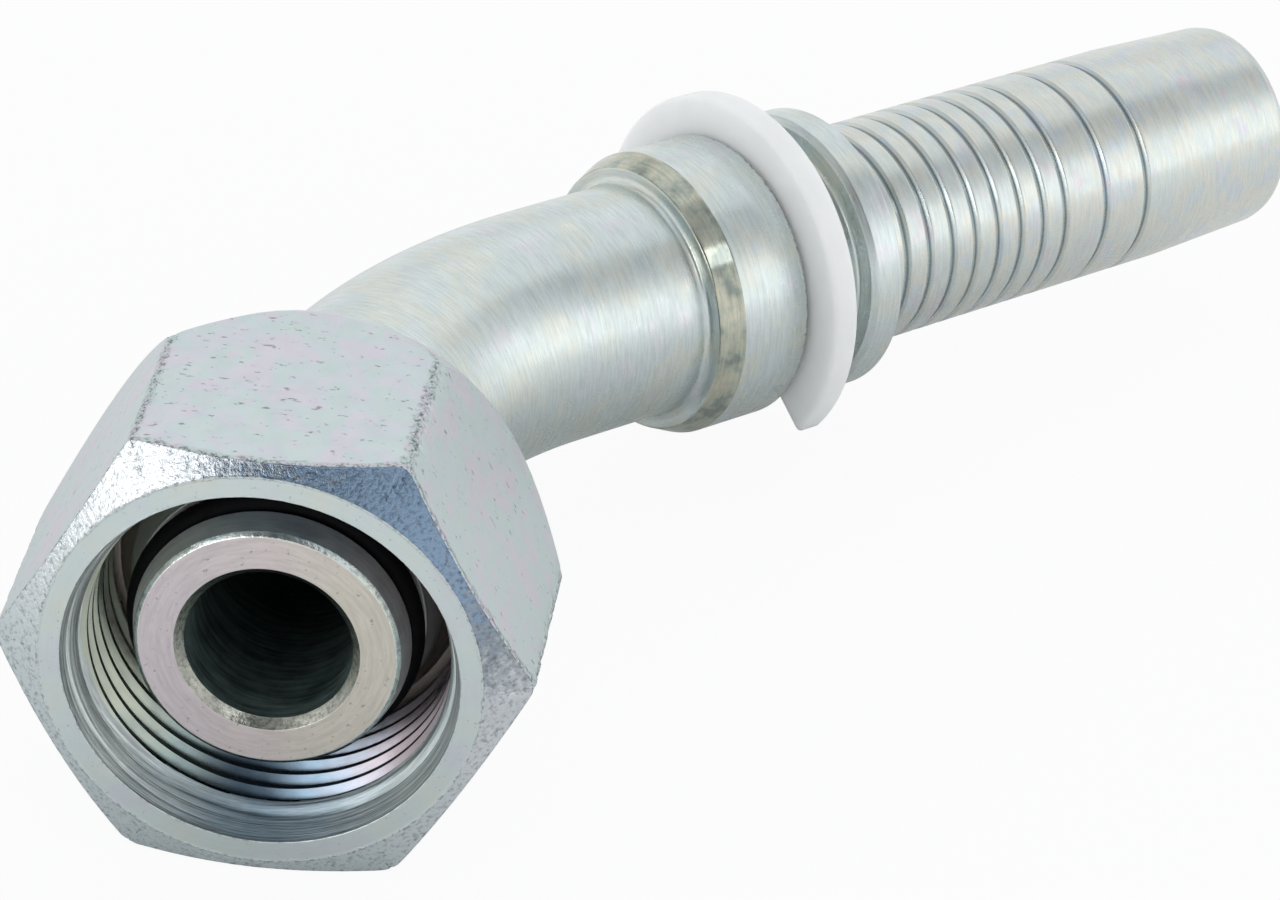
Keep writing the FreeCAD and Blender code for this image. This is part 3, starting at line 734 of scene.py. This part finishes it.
def dress_by_length(piece, finishes):
    """Give each face the finish that holds at its length along the nipple's outline."""
    mesh = piece.data
    mesh.materials.clear()
    for _, _, material in finishes:
        mesh.materials.append(material)
    lathe = np.zeros(3 * len(mesh.vertices), dtype=np.float32)
    mesh.attributes["lathe"].data.foreach_get("vector", lathe)
    length = lathe.reshape(-1, 3)[:, 0]
    starts = [length_at(distance, radius) for distance, radius, _ in finishes]
    for face in mesh.polygons:
        middle = float(length[list(face.vertices)].mean())
        face.material_index = int(np.searchsorted(starts, middle, side="right")) - 1


outline = outline_object("nipple_outline", nipple_outline, {
    "edge": [length_at(behind_apex(COLLAR_END), COLLAR_R)],
    "seam": [length_at(behind_apex(wall), TAIL_R - TOOTH_DEPTH) for wall in groove_walls()],
})
nipple = bake("steel_nipple", bent_lathe, {
    "Outline": outline, "Sides": NIPPLE_SIDES, "Neck length": NECK_LENGTH * MM,
    "Bend radius": BEND_RADIUS * MM, "Bend angle": BEND, "Lean": LEAN, "Material": turned_steel,
})
bpy.data.objects.remove(outline)
dress_by_length(nipple, NIPPLE_FINISHES)
finish_mesh(nipple)
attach(nipple, "nipple")
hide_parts("bent_hose_nipple")

# %% [markdown]
# ## The thread in the nut
#
# A metric thread is a rule: its radius depends only on how far along the helix a point is. So the
# threaded wall starts as a flat grid. One direction of the grid goes once round the nut, the other
# counts turns, and rows lie exactly on the corners of the 60 degree thread form. The tree rolls
# the grid into the bore, lets the depth grow with the angle, stops it at the lead-in cone in front,
# and lets it run out to the full radius at its end.

# %% Threaded wall
PITCH = 2.0
MAJOR_R = 15.0
MINOR_R = 13.92
MOUTH_R = 15.2
MOUTH_DEPTH = 0.3
LEAD_IN = 3.5
THREAD_END = 15.0
ROWS_PER_TURN = 16
BORE_SIDES = 192
FLANK = math.tan(math.radians(60.0))
# Half of the flat crest, as a share of the pitch
CREST_SHARE = 0.125
MERGE_WITHIN = 0.002
NEARLY = 0.001
NUT_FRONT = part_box("swivel_nut")[1].x


def threaded_wall(tree, pitch, all_turns, rows, sides, start, end, minor_r, major_r, mouth_r,
                  slope, front):
    """Nodes that roll a grid into the wall of a threaded bore with a conical lead-in."""
    work = partial(calc, tree)
    grid = add(tree, "GeometryNodeMeshGrid", {
        "Size X": 1.0, "Size Y": all_turns, "Vertices X": work("ADD", sides, 1.0), "Vertices Y": rows,
    }).outputs[0]
    position = add(tree, "GeometryNodeInputPosition").outputs[0]
    share, turns, _ = add(tree, "ShaderNodeSeparateXYZ", {0: position}).outputs
    share = work("ADD", share, 0.5)
    turns = work("MULTIPLY_ADD", all_turns, 0.5, turns)
    angle = work("MULTIPLY", share, 2 * math.pi)

    from_crest = work("ABSOLUTE", work("SUBTRACT", work("FRACT", turns), 0.5))
    flank = work("MULTIPLY", work("SUBTRACT", from_crest, CREST_SHARE), pitch)
    thread_r = work("MULTIPLY_ADD", flank, FLANK, minor_r)
    thread_r = work("MINIMUM", work("MAXIMUM", thread_r, minor_r), major_r)

    depth = work("MULTIPLY", work("SUBTRACT", turns, share), pitch)
    depth = work("ADD", depth, start)
    ended = work("GREATER_THAN", depth, work("SUBTRACT", end, NEARLY * MM))
    thread_r = work("MAXIMUM", thread_r, work("MULTIPLY", ended, major_r))
    depth = work("MINIMUM", work("MAXIMUM", depth, start), end)
    drop = work("MULTIPLY", work("SUBTRACT", depth, start), slope)
    radius = work("MAXIMUM", thread_r, work("SUBTRACT", mouth_r, drop))

    ways = [work("COSINE", angle), work("SINE", angle)]
    around = [work("MULTIPLY", way, LATHE_R) for way in ways]
    marked = store_lathe(tree, grid, work("MULTIPLY", depth, TO_MM), *around)
    across = [work("MULTIPLY", radius, way) for way in ways]
    place = join(tree, work("SUBTRACT", front, depth), *across)
    placed = add(tree, "GeometryNodeSetPosition", {"Geometry": marked, "Position": place}).outputs[0]
    feeds = {"Geometry": placed, "Distance": MERGE_WITHIN * MM}
    return add(tree, "GeometryNodeMergeByDistance", feeds).outputs[0]


thread_turns = math.ceil((THREAD_END - MOUTH_DEPTH) / PITCH) + 1
thread = bake("thread_wall", threaded_wall, {
    "Pitch": PITCH * MM, "Turns": float(thread_turns), "Rows": thread_turns * ROWS_PER_TURN + 1,
    "Sides": BORE_SIDES, "Start depth": MOUTH_DEPTH * MM, "End depth": THREAD_END * MM,
    "Minor radius": MINOR_R * MM, "Major radius": MAJOR_R * MM, "Mouth radius": MOUTH_R * MM,
    "Lead-in slope": (MOUTH_R - MINOR_R) / LEAD_IN, "Front": NUT_FRONT, "Material": thread_steel_painted_shade,
})

# %% [markdown]
# ## The nut
#
# The nut begins as hexagon bar. A lathe cuts a cone across the corners in front, and a press rolls
# the back down to a taper. Both cuts run out on the flats in curved edges. In polar form this is
# simple: seen from the axis, each direction has its own outline, with the hexagon's radius in that
# direction. Columns of points crowd round the corners, where the outline changes most.

# %% Nut outline in one direction
HALF_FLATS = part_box("swivel_nut")[1].z / MM
NUT_LENGTH = 25.7
FACE_R = 17.0
CHAMFER_TAN = math.tan(math.radians(30.0))
CRIMP_TAN = math.tan(math.radians(25.0))
CRIMP_LENGTH = 7.7
CRIMP_END_R = HALF_FLATS / math.cos(math.pi / 6) - CRIMP_LENGTH * CRIMP_TAN
NECK_HOLE_R = 10.6
CHAMBER_R = 13.6
SEAT_DEPTH = 18.3
RELIEF_R = 15.3
RELIEF_END = 15.8
SECTOR = math.radians(60.0)
BLUNT = math.radians(0.7)
CORNER_OFFSETS = (0.2, 0.4, 0.65, 0.95, 1.3, 1.8, 2.5, 4.0, 6.5, 10.0, 14.0, 19.0, 24.5)
FLAT_ROWS = 120
NICKED_FROM = HALF_FLATS - 0.2
NICK_WIDTH = math.radians(1.3)
NICK_DEPTH = 0.2
RAGGED_DEPTH = 0.05
RAGGED_WAVES = 14.0
SKIN_START = 0.05
NUT_FINISHES = (flat_steel, chamfer_steel_painted_reflection, thread_steel_painted_shade, shoulder_steel_painted_light, face_steel, lead_steel_painted_light_and_shade)
# Which of them follows each corner of the outline below
COLUMN_FINISHES = (5, 4, 1, 0, 0, 4, 3, 3, 3, 3, 3, 3)
THREAD, LEAD = 2, 5


def from_corner(angle):
    """Angle to the nearest corner of the hexagon, with its sign."""
    return (angle + SECTOR / 2) % SECTOR - SECTOR / 2


def hexagon_radius(angle):
    """Radius of the hexagon in a direction, with blunt corners."""
    off = math.hypot(from_corner(angle), BLUNT)
    return HALF_FLATS / math.cos(SECTOR / 2 - off)


def nut_directions():
    """Angles of the nut's columns, crowded round the corners."""
    before = [-step for step in reversed(CORNER_OFFSETS)]
    steps = [math.radians(step) for step in (*before, 0.0, *CORNER_OFFSETS)] + [SECTOR / 2]
    return [corner * SECTOR + step for corner in range(6) for step in steps]


def nut_corners(angle):
    """Corners of the nut's outline in a direction: depth, radius, edge radius and steps after it."""
    bar_r = hexagon_radius(angle)
    way = Vector((math.cos(angle), math.sin(angle), 0.0))
    ragged = RAGGED_DEPTH * noise.noise(way * RAGGED_WAVES)
    chamfer_end = (bar_r - FACE_R) * CHAMFER_TAN + ragged
    taper_start = NUT_LENGTH - (bar_r - CRIMP_END_R) / CRIMP_TAN
    return [
        (MOUTH_DEPTH - SKIN_START, MOUTH_R, 0.0, 2),
        (0.0, MOUTH_R, 0.1, 3),
        (0.0, FACE_R, 0.15, 10),
        (chamfer_end, bar_r, 0.1, FLAT_ROWS),
        (taper_start, bar_r, 0.3, 12),
        (NUT_LENGTH, CRIMP_END_R, 0.8, 8),
        (NUT_LENGTH, NECK_HOLE_R, 0.3, 6),
        (SEAT_DEPTH + CHAMBER_R - NECK_HOLE_R, NECK_HOLE_R, 0.1, 5),
        (SEAT_DEPTH, CHAMBER_R, 0.1, 4),
        (RELIEF_END, CHAMBER_R, 0.1, 3),
        (RELIEF_END, RELIEF_R, 0.1, 3),
        (THREAD_END, RELIEF_R, 0.0, 0),
    ]


def nut_column(angle):
    """Points of the nut's outline in a direction, as depth and radius, and the finish after each."""
    corners = nut_corners(angle)
    curved = rounded([corner[:3] for corner in corners], closed=False)
    points, finishes = [], []
    index = 0
    for k, (_, _, edge, steps) in enumerate(corners):
        count = ARC_STEPS + 1 if edge and 0 < k < len(corners) - 1 else 1
        stretch = curved[index:index + count]
        index += count
        if steps:
            here, after = stretch[-1], curved[index]
            margin = EDGE_MARGIN / max((after - here).length, 4 * EDGE_MARGIN)
            shares = [margin] + [step / steps for step in range(1, steps)] + [1 - margin]
            stretch += [here.lerp(after, share) for share in sorted(shares)]
        points += stretch
        finishes += [COLUMN_FINISHES[k]] * len(stretch)
    return points, finishes


# %% [markdown]
# ## Nicks and the nut's skin
#
# Nuts are handled in bulk, so their corners are dented. A nick is noise pressed into the corner: it
# fades to both sides and comes and goes along the edge. The skin is one grid of the columns round
# the nut, with a finish for each row and, for the chips, the distance to the next edge.

# %% Nicks and skin


def nick(angle, depth):
    """Depth of the damage at a place on the hexagon's corner, in millimetres."""
    # The bare numbers choose a place in the noise and how fast it changes there
    off = from_corner(angle)
    corner = round(angle / SECTOR) % 6
    seed = Vector((depth * 1.1, corner * 5.3, 2.0))
    line = 0.5 * NICK_WIDTH * noise.noise(seed * 1.9)
    near = math.exp(-((off - line) / NICK_WIDTH) ** 2)
    coarse = max(0.0, noise.noise(seed * 1.3) + 0.15)
    fine = abs(noise.noise(Vector((depth * 2.6, off * 90.0, corner * 3.1))))
    return NICK_DEPTH * near * (coarse + 0.8 * fine)


def make_nut_skin():
    """Mesh object of the nut's faces, from the mouth round the outside to the thread's relief."""
    angles = nut_directions()
    places, lathe, edge, faces, materials = [], [], [], [], []
    for angle in angles:
        points, finishes = nut_column(angle)
        lengths = lengths_along(points)
        borders = [length for length, here, after in zip(lengths[1:], finishes, finishes[1:])
                   if here != after]
        corner_way = abs(from_corner(angle)) * HALF_FLATS / math.cos(SECTOR / 2)
        for point, length in zip(points, lengths):
            depth, radius = point
            away = min(abs(length - border) for border in borders[:3])
            if radius > NICKED_FROM:
                radius -= nick(angle, depth)
                away = min(away, corner_way)
            places.append((NUT_FRONT - depth * MM,
                           radius * math.cos(angle) * MM, radius * math.sin(angle) * MM))
            lathe.append((length, LATHE_R * math.cos(angle), LATHE_R * math.sin(angle)))
            edge.append(away)
    rows = len(points)
    for column in range(len(angles)):
        start, after = column * rows, (column + 1) % len(angles) * rows
        for row in range(rows - 1):
            faces.append((start + row, after + row, after + row + 1, start + row + 1))
            materials.append(finishes[row])
    mesh = bpy.data.meshes.new("nut_skin")
    mesh.from_pydata(places, [], faces)
    mesh.polygons.foreach_set("material_index", materials)
    field = mesh.attributes.new("lathe", "FLOAT_VECTOR", "POINT")
    field.data.foreach_set("vector", np.array(lathe, dtype=np.float32).ravel())
    mesh.attributes.new("edge", "FLOAT", "POINT").data.foreach_set("value", edge)
    for material in NUT_FINISHES:
        mesh.materials.append(material)
    return new_object("steel_nut", mesh)


nut = make_nut_skin()

# %% [markdown]
# ## Joining skin and thread
#
# The skin ends in a ring in the mouth and another in the relief, and the threaded wall has a ring
# beside each. The rings have different numbers of points, so a strip of triangles goes round each
# pair in step, always on to the point that comes next. That closes the nut into one solid shell.

# %% One closed nut
BEFORE_FIRST = 0.003
RIM_DEPTH = 0.2


def round_angle(vert):
    """Angle of a point round the nut's axis, counted from just before the first column."""
    return (math.atan2(vert.co.z, vert.co.y) + BEFORE_FIRST) % (2 * math.pi)


def strip(shell, ring, other):
    """Triangles between two rings of points, in step round the axis."""
    ring, other = sorted(ring, key=round_angle), sorted(other, key=round_angle)

    def at(points, k):
        return points[k % len(points)]

    def angle(points, k):
        return round_angle(at(points, k)) + 2 * math.pi * (k // len(points))

    faces = []
    i = j = 0
    while i < len(ring) or j < len(other):
        if j == len(other) or (i < len(ring) and angle(ring, i + 1) <= angle(other, j + 1)):
            faces.append(shell.faces.new((at(ring, i), at(other, j), at(ring, i + 1))))
            i += 1
        else:
            faces.append(shell.faces.new((at(ring, i), at(other, j), at(other, j + 1))))
            j += 1
    return faces


def join_and_bridge(skin, wall, depths):
    """Take the wall's mesh into the skin's and close the gap between their rings near each depth."""
    lead_end = NUT_FRONT - (MOUTH_DEPTH + LEAD_IN) * MM
    indices = [LEAD if face.center.x > lead_end else THREAD for face in wall.data.polygons]
    wall.data.polygons.foreach_set("material_index", indices)
    skin_count = len(skin.data.vertices)
    shell = bmesh.new()
    shell.from_mesh(skin.data)
    shell.from_mesh(wall.data)
    shell.verts.index_update()
    for depth in depths:
        at = NUT_FRONT - depth * MM
        rim = [vert for vert in shell.verts
               if vert.is_boundary and abs(vert.co.x - at) < RIM_DEPTH * MM]
        skin_ring = [vert for vert in rim if vert.index < skin_count]
        wall_ring = [vert for vert in rim if vert.index >= skin_count]
        for face in strip(shell, skin_ring, wall_ring):
            face.material_index = LEAD if depth == depths[0] else THREAD
    shell.to_mesh(skin.data)
    shell.free()
    bpy.data.objects.remove(wall)


join_and_bridge(nut, thread, (MOUTH_DEPTH, THREAD_END))
finish_mesh(nut)
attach(nut, "nut")
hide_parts("swivel_nut")

# %% [markdown]
# ## The O-ring
#
# The O-ring's shape is simple and right as it stands, so it only gets its finish: black nitrile
# rubber, nearly matte, with a faint mould texture.

# %% Rubber
CLOUD_SCALE = 0.25
MOULD_SCALE = 4.0
MOULD_DEPTH = 0.02


def plain_finish(name, colour, roughness, spots, bump_share, **sockets):
    """Non-metal finish with slight cloudiness and a fine surface texture."""
    material = bpy.data.materials.new(name)
    tree = emptied(material)
    place = coordinates_in_mm(tree)
    cloud = marks(tree, place, CLOUD_SCALE, detail=3.0)
    shade = spread(tree, cloud, 0.35, 0.65, 1.0 - spots, 1.0)
    tone = add(tree, "ShaderNodeCombineColor", {0: shade, 1: shade, 2: shade}).outputs[0]
    tinted = multiply(tree, (*colour, 1.0), 1.0, tone)
    grain = marks(tree, place, MOULD_SCALE, detail=4.0)
    feeds = {"Height": grain, "Strength": bump_share, "Distance": MOULD_DEPTH * MM}
    bump = add(tree, "ShaderNodeBump", feeds)
    gloss = spread(tree, grain, 0.3, 0.7, roughness - 0.05, roughness + 0.08)
    feeds = {"Base Color": tinted, "Roughness": gloss, "Normal": bump.outputs[0], **sockets}
    shader = add(tree, "ShaderNodeBsdfPrincipled", feeds)
    add(tree, "ShaderNodeOutputMaterial", {0: shader.outputs[0]})
    return material


rubber = plain_finish("nitrile_rubber", (0.005, 0.005, 0.006), 0.7, 0.3, 0.4,
                      **{"Specular IOR Level": 0.12})
o_ring = frame["nodes"]["cone_o_ring"]
o_ring.data.materials.clear()
o_ring.data.materials.append(rubber)

# %% [markdown]
# ## The clip ring
#
# The clip ring is moulded from soft white plastic: a flat ring with a gap, which is snapped over
# the groove between the collars. Its section is an oblong with round edges, and the section is
# simply carried round the hose axis from one end of the gap to the other. A slightly smaller
# section closes each end, so that the end's edges catch a thin line of light too. Light goes a
# little way into the plastic, which softens its shading.

# %% Clip ring
CLIP_R = 15.7
CLIP_SEAT_R = 10.5
CLIP_FRONT = 39.0
CLIP_THICKNESS = 2.5
CLIP_FIRST_END = math.radians(37.5)
CLIP_OPENING = math.radians(60.0)
CLIP_EDGE = 0.45
CLIP_SEAT_EDGE = 0.1
CLIP_END_EDGE = 0.12
CLIP_STEPS = 120


def hose_frame():
    """Matrix from hose axis, inner side of the elbow and downwards to the frame."""
    lean = Matrix.Rotation(-LEAN, 3, "X")
    inner = lean @ Vector((math.sin(BEND), math.cos(BEND), 0.0))
    down = lean @ Vector((0.0, 0.0, -1.0))
    return Matrix((HOSE_AXIS, inner, down)).transposed()


def clip_section(shrink):
    """Points of the ring's section as distance along the hose axis and radius."""
    front, back = CLIP_FRONT + shrink, CLIP_FRONT + CLIP_THICKNESS - shrink
    inner, outer = CLIP_SEAT_R + shrink, CLIP_R - shrink
    edge, seat = CLIP_EDGE - shrink, CLIP_SEAT_EDGE
    corners = [(front, inner, seat), (front, outer, edge), (back, outer, edge), (back, inner, seat)]
    return divided(rounded(corners), LONGEST)


def make_clip_ring():
    """The ring: sections carried round the hose axis, and a face on each end."""
    shell = bmesh.new()
    turn = hose_frame()
    apex = Vector((-TIP_TO_APEX, 0.0, 0.0))
    start, end = CLIP_FIRST_END + CLIP_OPENING, CLIP_FIRST_END + 2 * math.pi
    margin = CLIP_END_EDGE / CLIP_R
    way = end - start - 2 * margin
    angles = [start, *(start + margin + way * k / CLIP_STEPS for k in range(CLIP_STEPS + 1)), end]
    loops = []
    for angle in angles:
        section = clip_section(CLIP_END_EDGE if angle in (start, end) else 0.0)
        places = [Vector((q, r * math.cos(angle), r * math.sin(angle))) for q, r in section]
        loops.append([shell.verts.new((apex + turn @ place) * MM) for place in places])
    for here, after in zip(loops, loops[1:]):
        for k in range(len(here)):
            shell.faces.new((here[k - 1], here[k], after[k], after[k - 1]))
    shell.faces.new(loops[0])
    shell.faces.new(loops[-1])
    mesh = bpy.data.meshes.new("clip_ring")
    shell.to_mesh(mesh)
    shell.free()
    return new_object("plastic_clip_ring", mesh)


plastic = plain_finish("white_plastic", (0.83, 0.83, 0.83), 0.42, 0.05, 0.3, **{
    "Subsurface Weight": 1.0, "Subsurface Radius": (1.0, 1.0, 1.0), "Subsurface Scale": 4.0 * MM})
clip_ring = make_clip_ring()
clip_ring.data.materials.append(plastic)
finish_mesh(clip_ring, 50.0)
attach(clip_ring, "nipple")
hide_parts("ferrule_clip_ring")

# %% [markdown]
# ## Floor, light and background
#
# Plated steel shows its surroundings more than its own colour, so the light is arranged like a
# small white tent. The sky is bright round the horizon and darker overhead, and darkest in front
# and above, where the tent is open. The camera sees the floor and the sky as plain white, and the
# floor still takes a soft shadow. In the metal the floor's mirror image carries a painted shadow:
# a white glow that fades out close to the fitting, where only the grey paper shows, and is full
# from a hand's breadth away.

# %% Floor and sky
GROUND = cad_box[0].z
FLOOR_SIZE = 6.0
PAPER = 0.8
FLOOR_WHITE = 0.93
FLOOR_MIRRORED = 0.85
PAINTED_SHADOW_AT = Vector((-25.0, 20.0)) * MM
NEAR_FLOOR = 0.05
FAR_FLOOR = 0.17
SKY_TONES = (
    (0.0, (0.60, 0.60, 0.60)), (0.5, (0.94, 0.96, 0.97)), (0.75, (0.85, 0.86, 0.87)),
    (0.85, (0.54, 0.56, 0.58)), (1.0, (0.54, 0.56, 0.58)),
)
SKY_SOFTLY = 1.2
OPENING = Vector((0.786, -0.055, 0.616))
OPENING_REACH = math.cos(math.radians(27.0))
OPENING_CORE = math.cos(math.radians(17.0))
OPENING_SHADE = 0.2


def make_floor():
    """Large flat floor that the camera sees as white, with a soft shadow."""
    mesh = bpy.data.meshes.new("floor")
    half = FLOOR_SIZE / 2
    corners = [(-half, -half), (half, -half), (half, half), (-half, half)]
    mesh.from_pydata([(*corner, GROUND) for corner in corners], [], [(0, 1, 2, 3)])
    material = bpy.data.materials.new("white_floor")
    tree = emptied(material)
    paper = add(tree, "ShaderNodeBsdfDiffuse", {"Color": (PAPER, PAPER, PAPER, 1.0)}).outputs[0]
    glow = add(tree, "ShaderNodeEmission", {"Color": WHITE, "Strength": 1.0}).outputs[0]
    path = add(tree, "ShaderNodeLightPath").outputs
    share = calc(tree, "MULTIPLY", path["Is Camera Ray"], FLOOR_WHITE)
    place = add(tree, "ShaderNodeTexCoord").outputs["Object"]
    # Painted shadow: glossy rays see the white glow only away from this point near the fitting.
    away = vector(tree, "DISTANCE", place, (*PAINTED_SHADOW_AT, GROUND), out="Value")
    painted_shadow_glow = spread(tree, away, NEAR_FLOOR, FAR_FLOOR, 0.0, FLOOR_MIRRORED)
    share = calc(tree, "MULTIPLY_ADD", path["Is Glossy Ray"], painted_shadow_glow, share)
    mixed = add(tree, "ShaderNodeMixShader", {0: share, 1: paper, 2: glow}).outputs[0]
    add(tree, "ShaderNodeOutputMaterial", {0: mixed})
    mesh.materials.append(material)
    return new_object("floor", mesh)


def make_sky():
    """World that looks white to the camera, lights softly and mirrors as a tent does."""
    world = bpy.data.worlds.new("sky")
    scene.world = world
    tree = emptied(world)
    direction = add(tree, "ShaderNodeTexCoord").outputs["Generated"]
    height = add(tree, "ShaderNodeSeparateXYZ", {0: direction}).outputs[2]
    tent = ramp(tree, spread(tree, height, -1.0, 1.0), SKY_TONES)
    near = vector(tree, "DOT_PRODUCT", direction, OPENING, out="Value")
    shade = spread(tree, near, OPENING_REACH, OPENING_CORE, 1.0, OPENING_SHADE)
    path = add(tree, "ShaderNodeLightPath").outputs
    strength = calc(tree, "MULTIPLY_ADD", path["Is Glossy Ray"], 1.0 - SKY_SOFTLY, SKY_SOFTLY)
    strength = calc(tree, "MULTIPLY", strength, shade)
    light = add(tree, "ShaderNodeBackground", {"Color": tent, "Strength": strength})
    plain = add(tree, "ShaderNodeBackground", {"Color": WHITE, "Strength": 1.0})
    feeds = {0: path["Is Camera Ray"], 1: light.outputs[0], 2: plain.outputs[0]}
    mixed = add(tree, "ShaderNodeMixShader", feeds).outputs[0]
    add(tree, "ShaderNodeOutputWorld", {0: mixed})


make_floor()
make_sky()

# %% [markdown]
# ## Lamps
#
# A wide soft lamp above and behind the fitting and a long one low on its right add the bands of
# light that run along the tube. Two small ones in front give the chamfer and the small edges their
# glints. A lamp adds to the sky behind it, so the two big ones are weak.

# %% Lamps


def soft_lamp(name, direction, distance, width, height, radiance):
    """Oblong lamp that shines on the fitting from a direction, radiance times as bright as white."""
    data = bpy.data.lights.new(name, "AREA")
    data.shape = "RECTANGLE"
    data.size = width
    data.size_y = height
    data.energy = radiance * math.pi * width * height
    lamp = new_object(name, data)
    centre = (cad_box[0] + cad_box[1]) / 2
    way = Vector(direction).normalized()
    lamp.location = centre + way * distance
    lamp.rotation_euler = way.to_track_quat("Z", "Y").to_euler()


soft_lamp("top", (-0.55, 0.05, 1.0), 0.8, 0.9, 0.9, 0.36)
soft_lamp("right", (-0.06, 1.0, 0.25), 0.7, 0.60, 0.32, 0.46)
soft_lamp("left_front", (0.83, -0.50, 0.25), 0.8, 0.38, 0.38, 2.2)
soft_lamp("right_front", (0.57, 0.38, 0.73), 0.8, 0.2, 0.2, 1.8)
scene.view_settings.view_transform = "Standard"
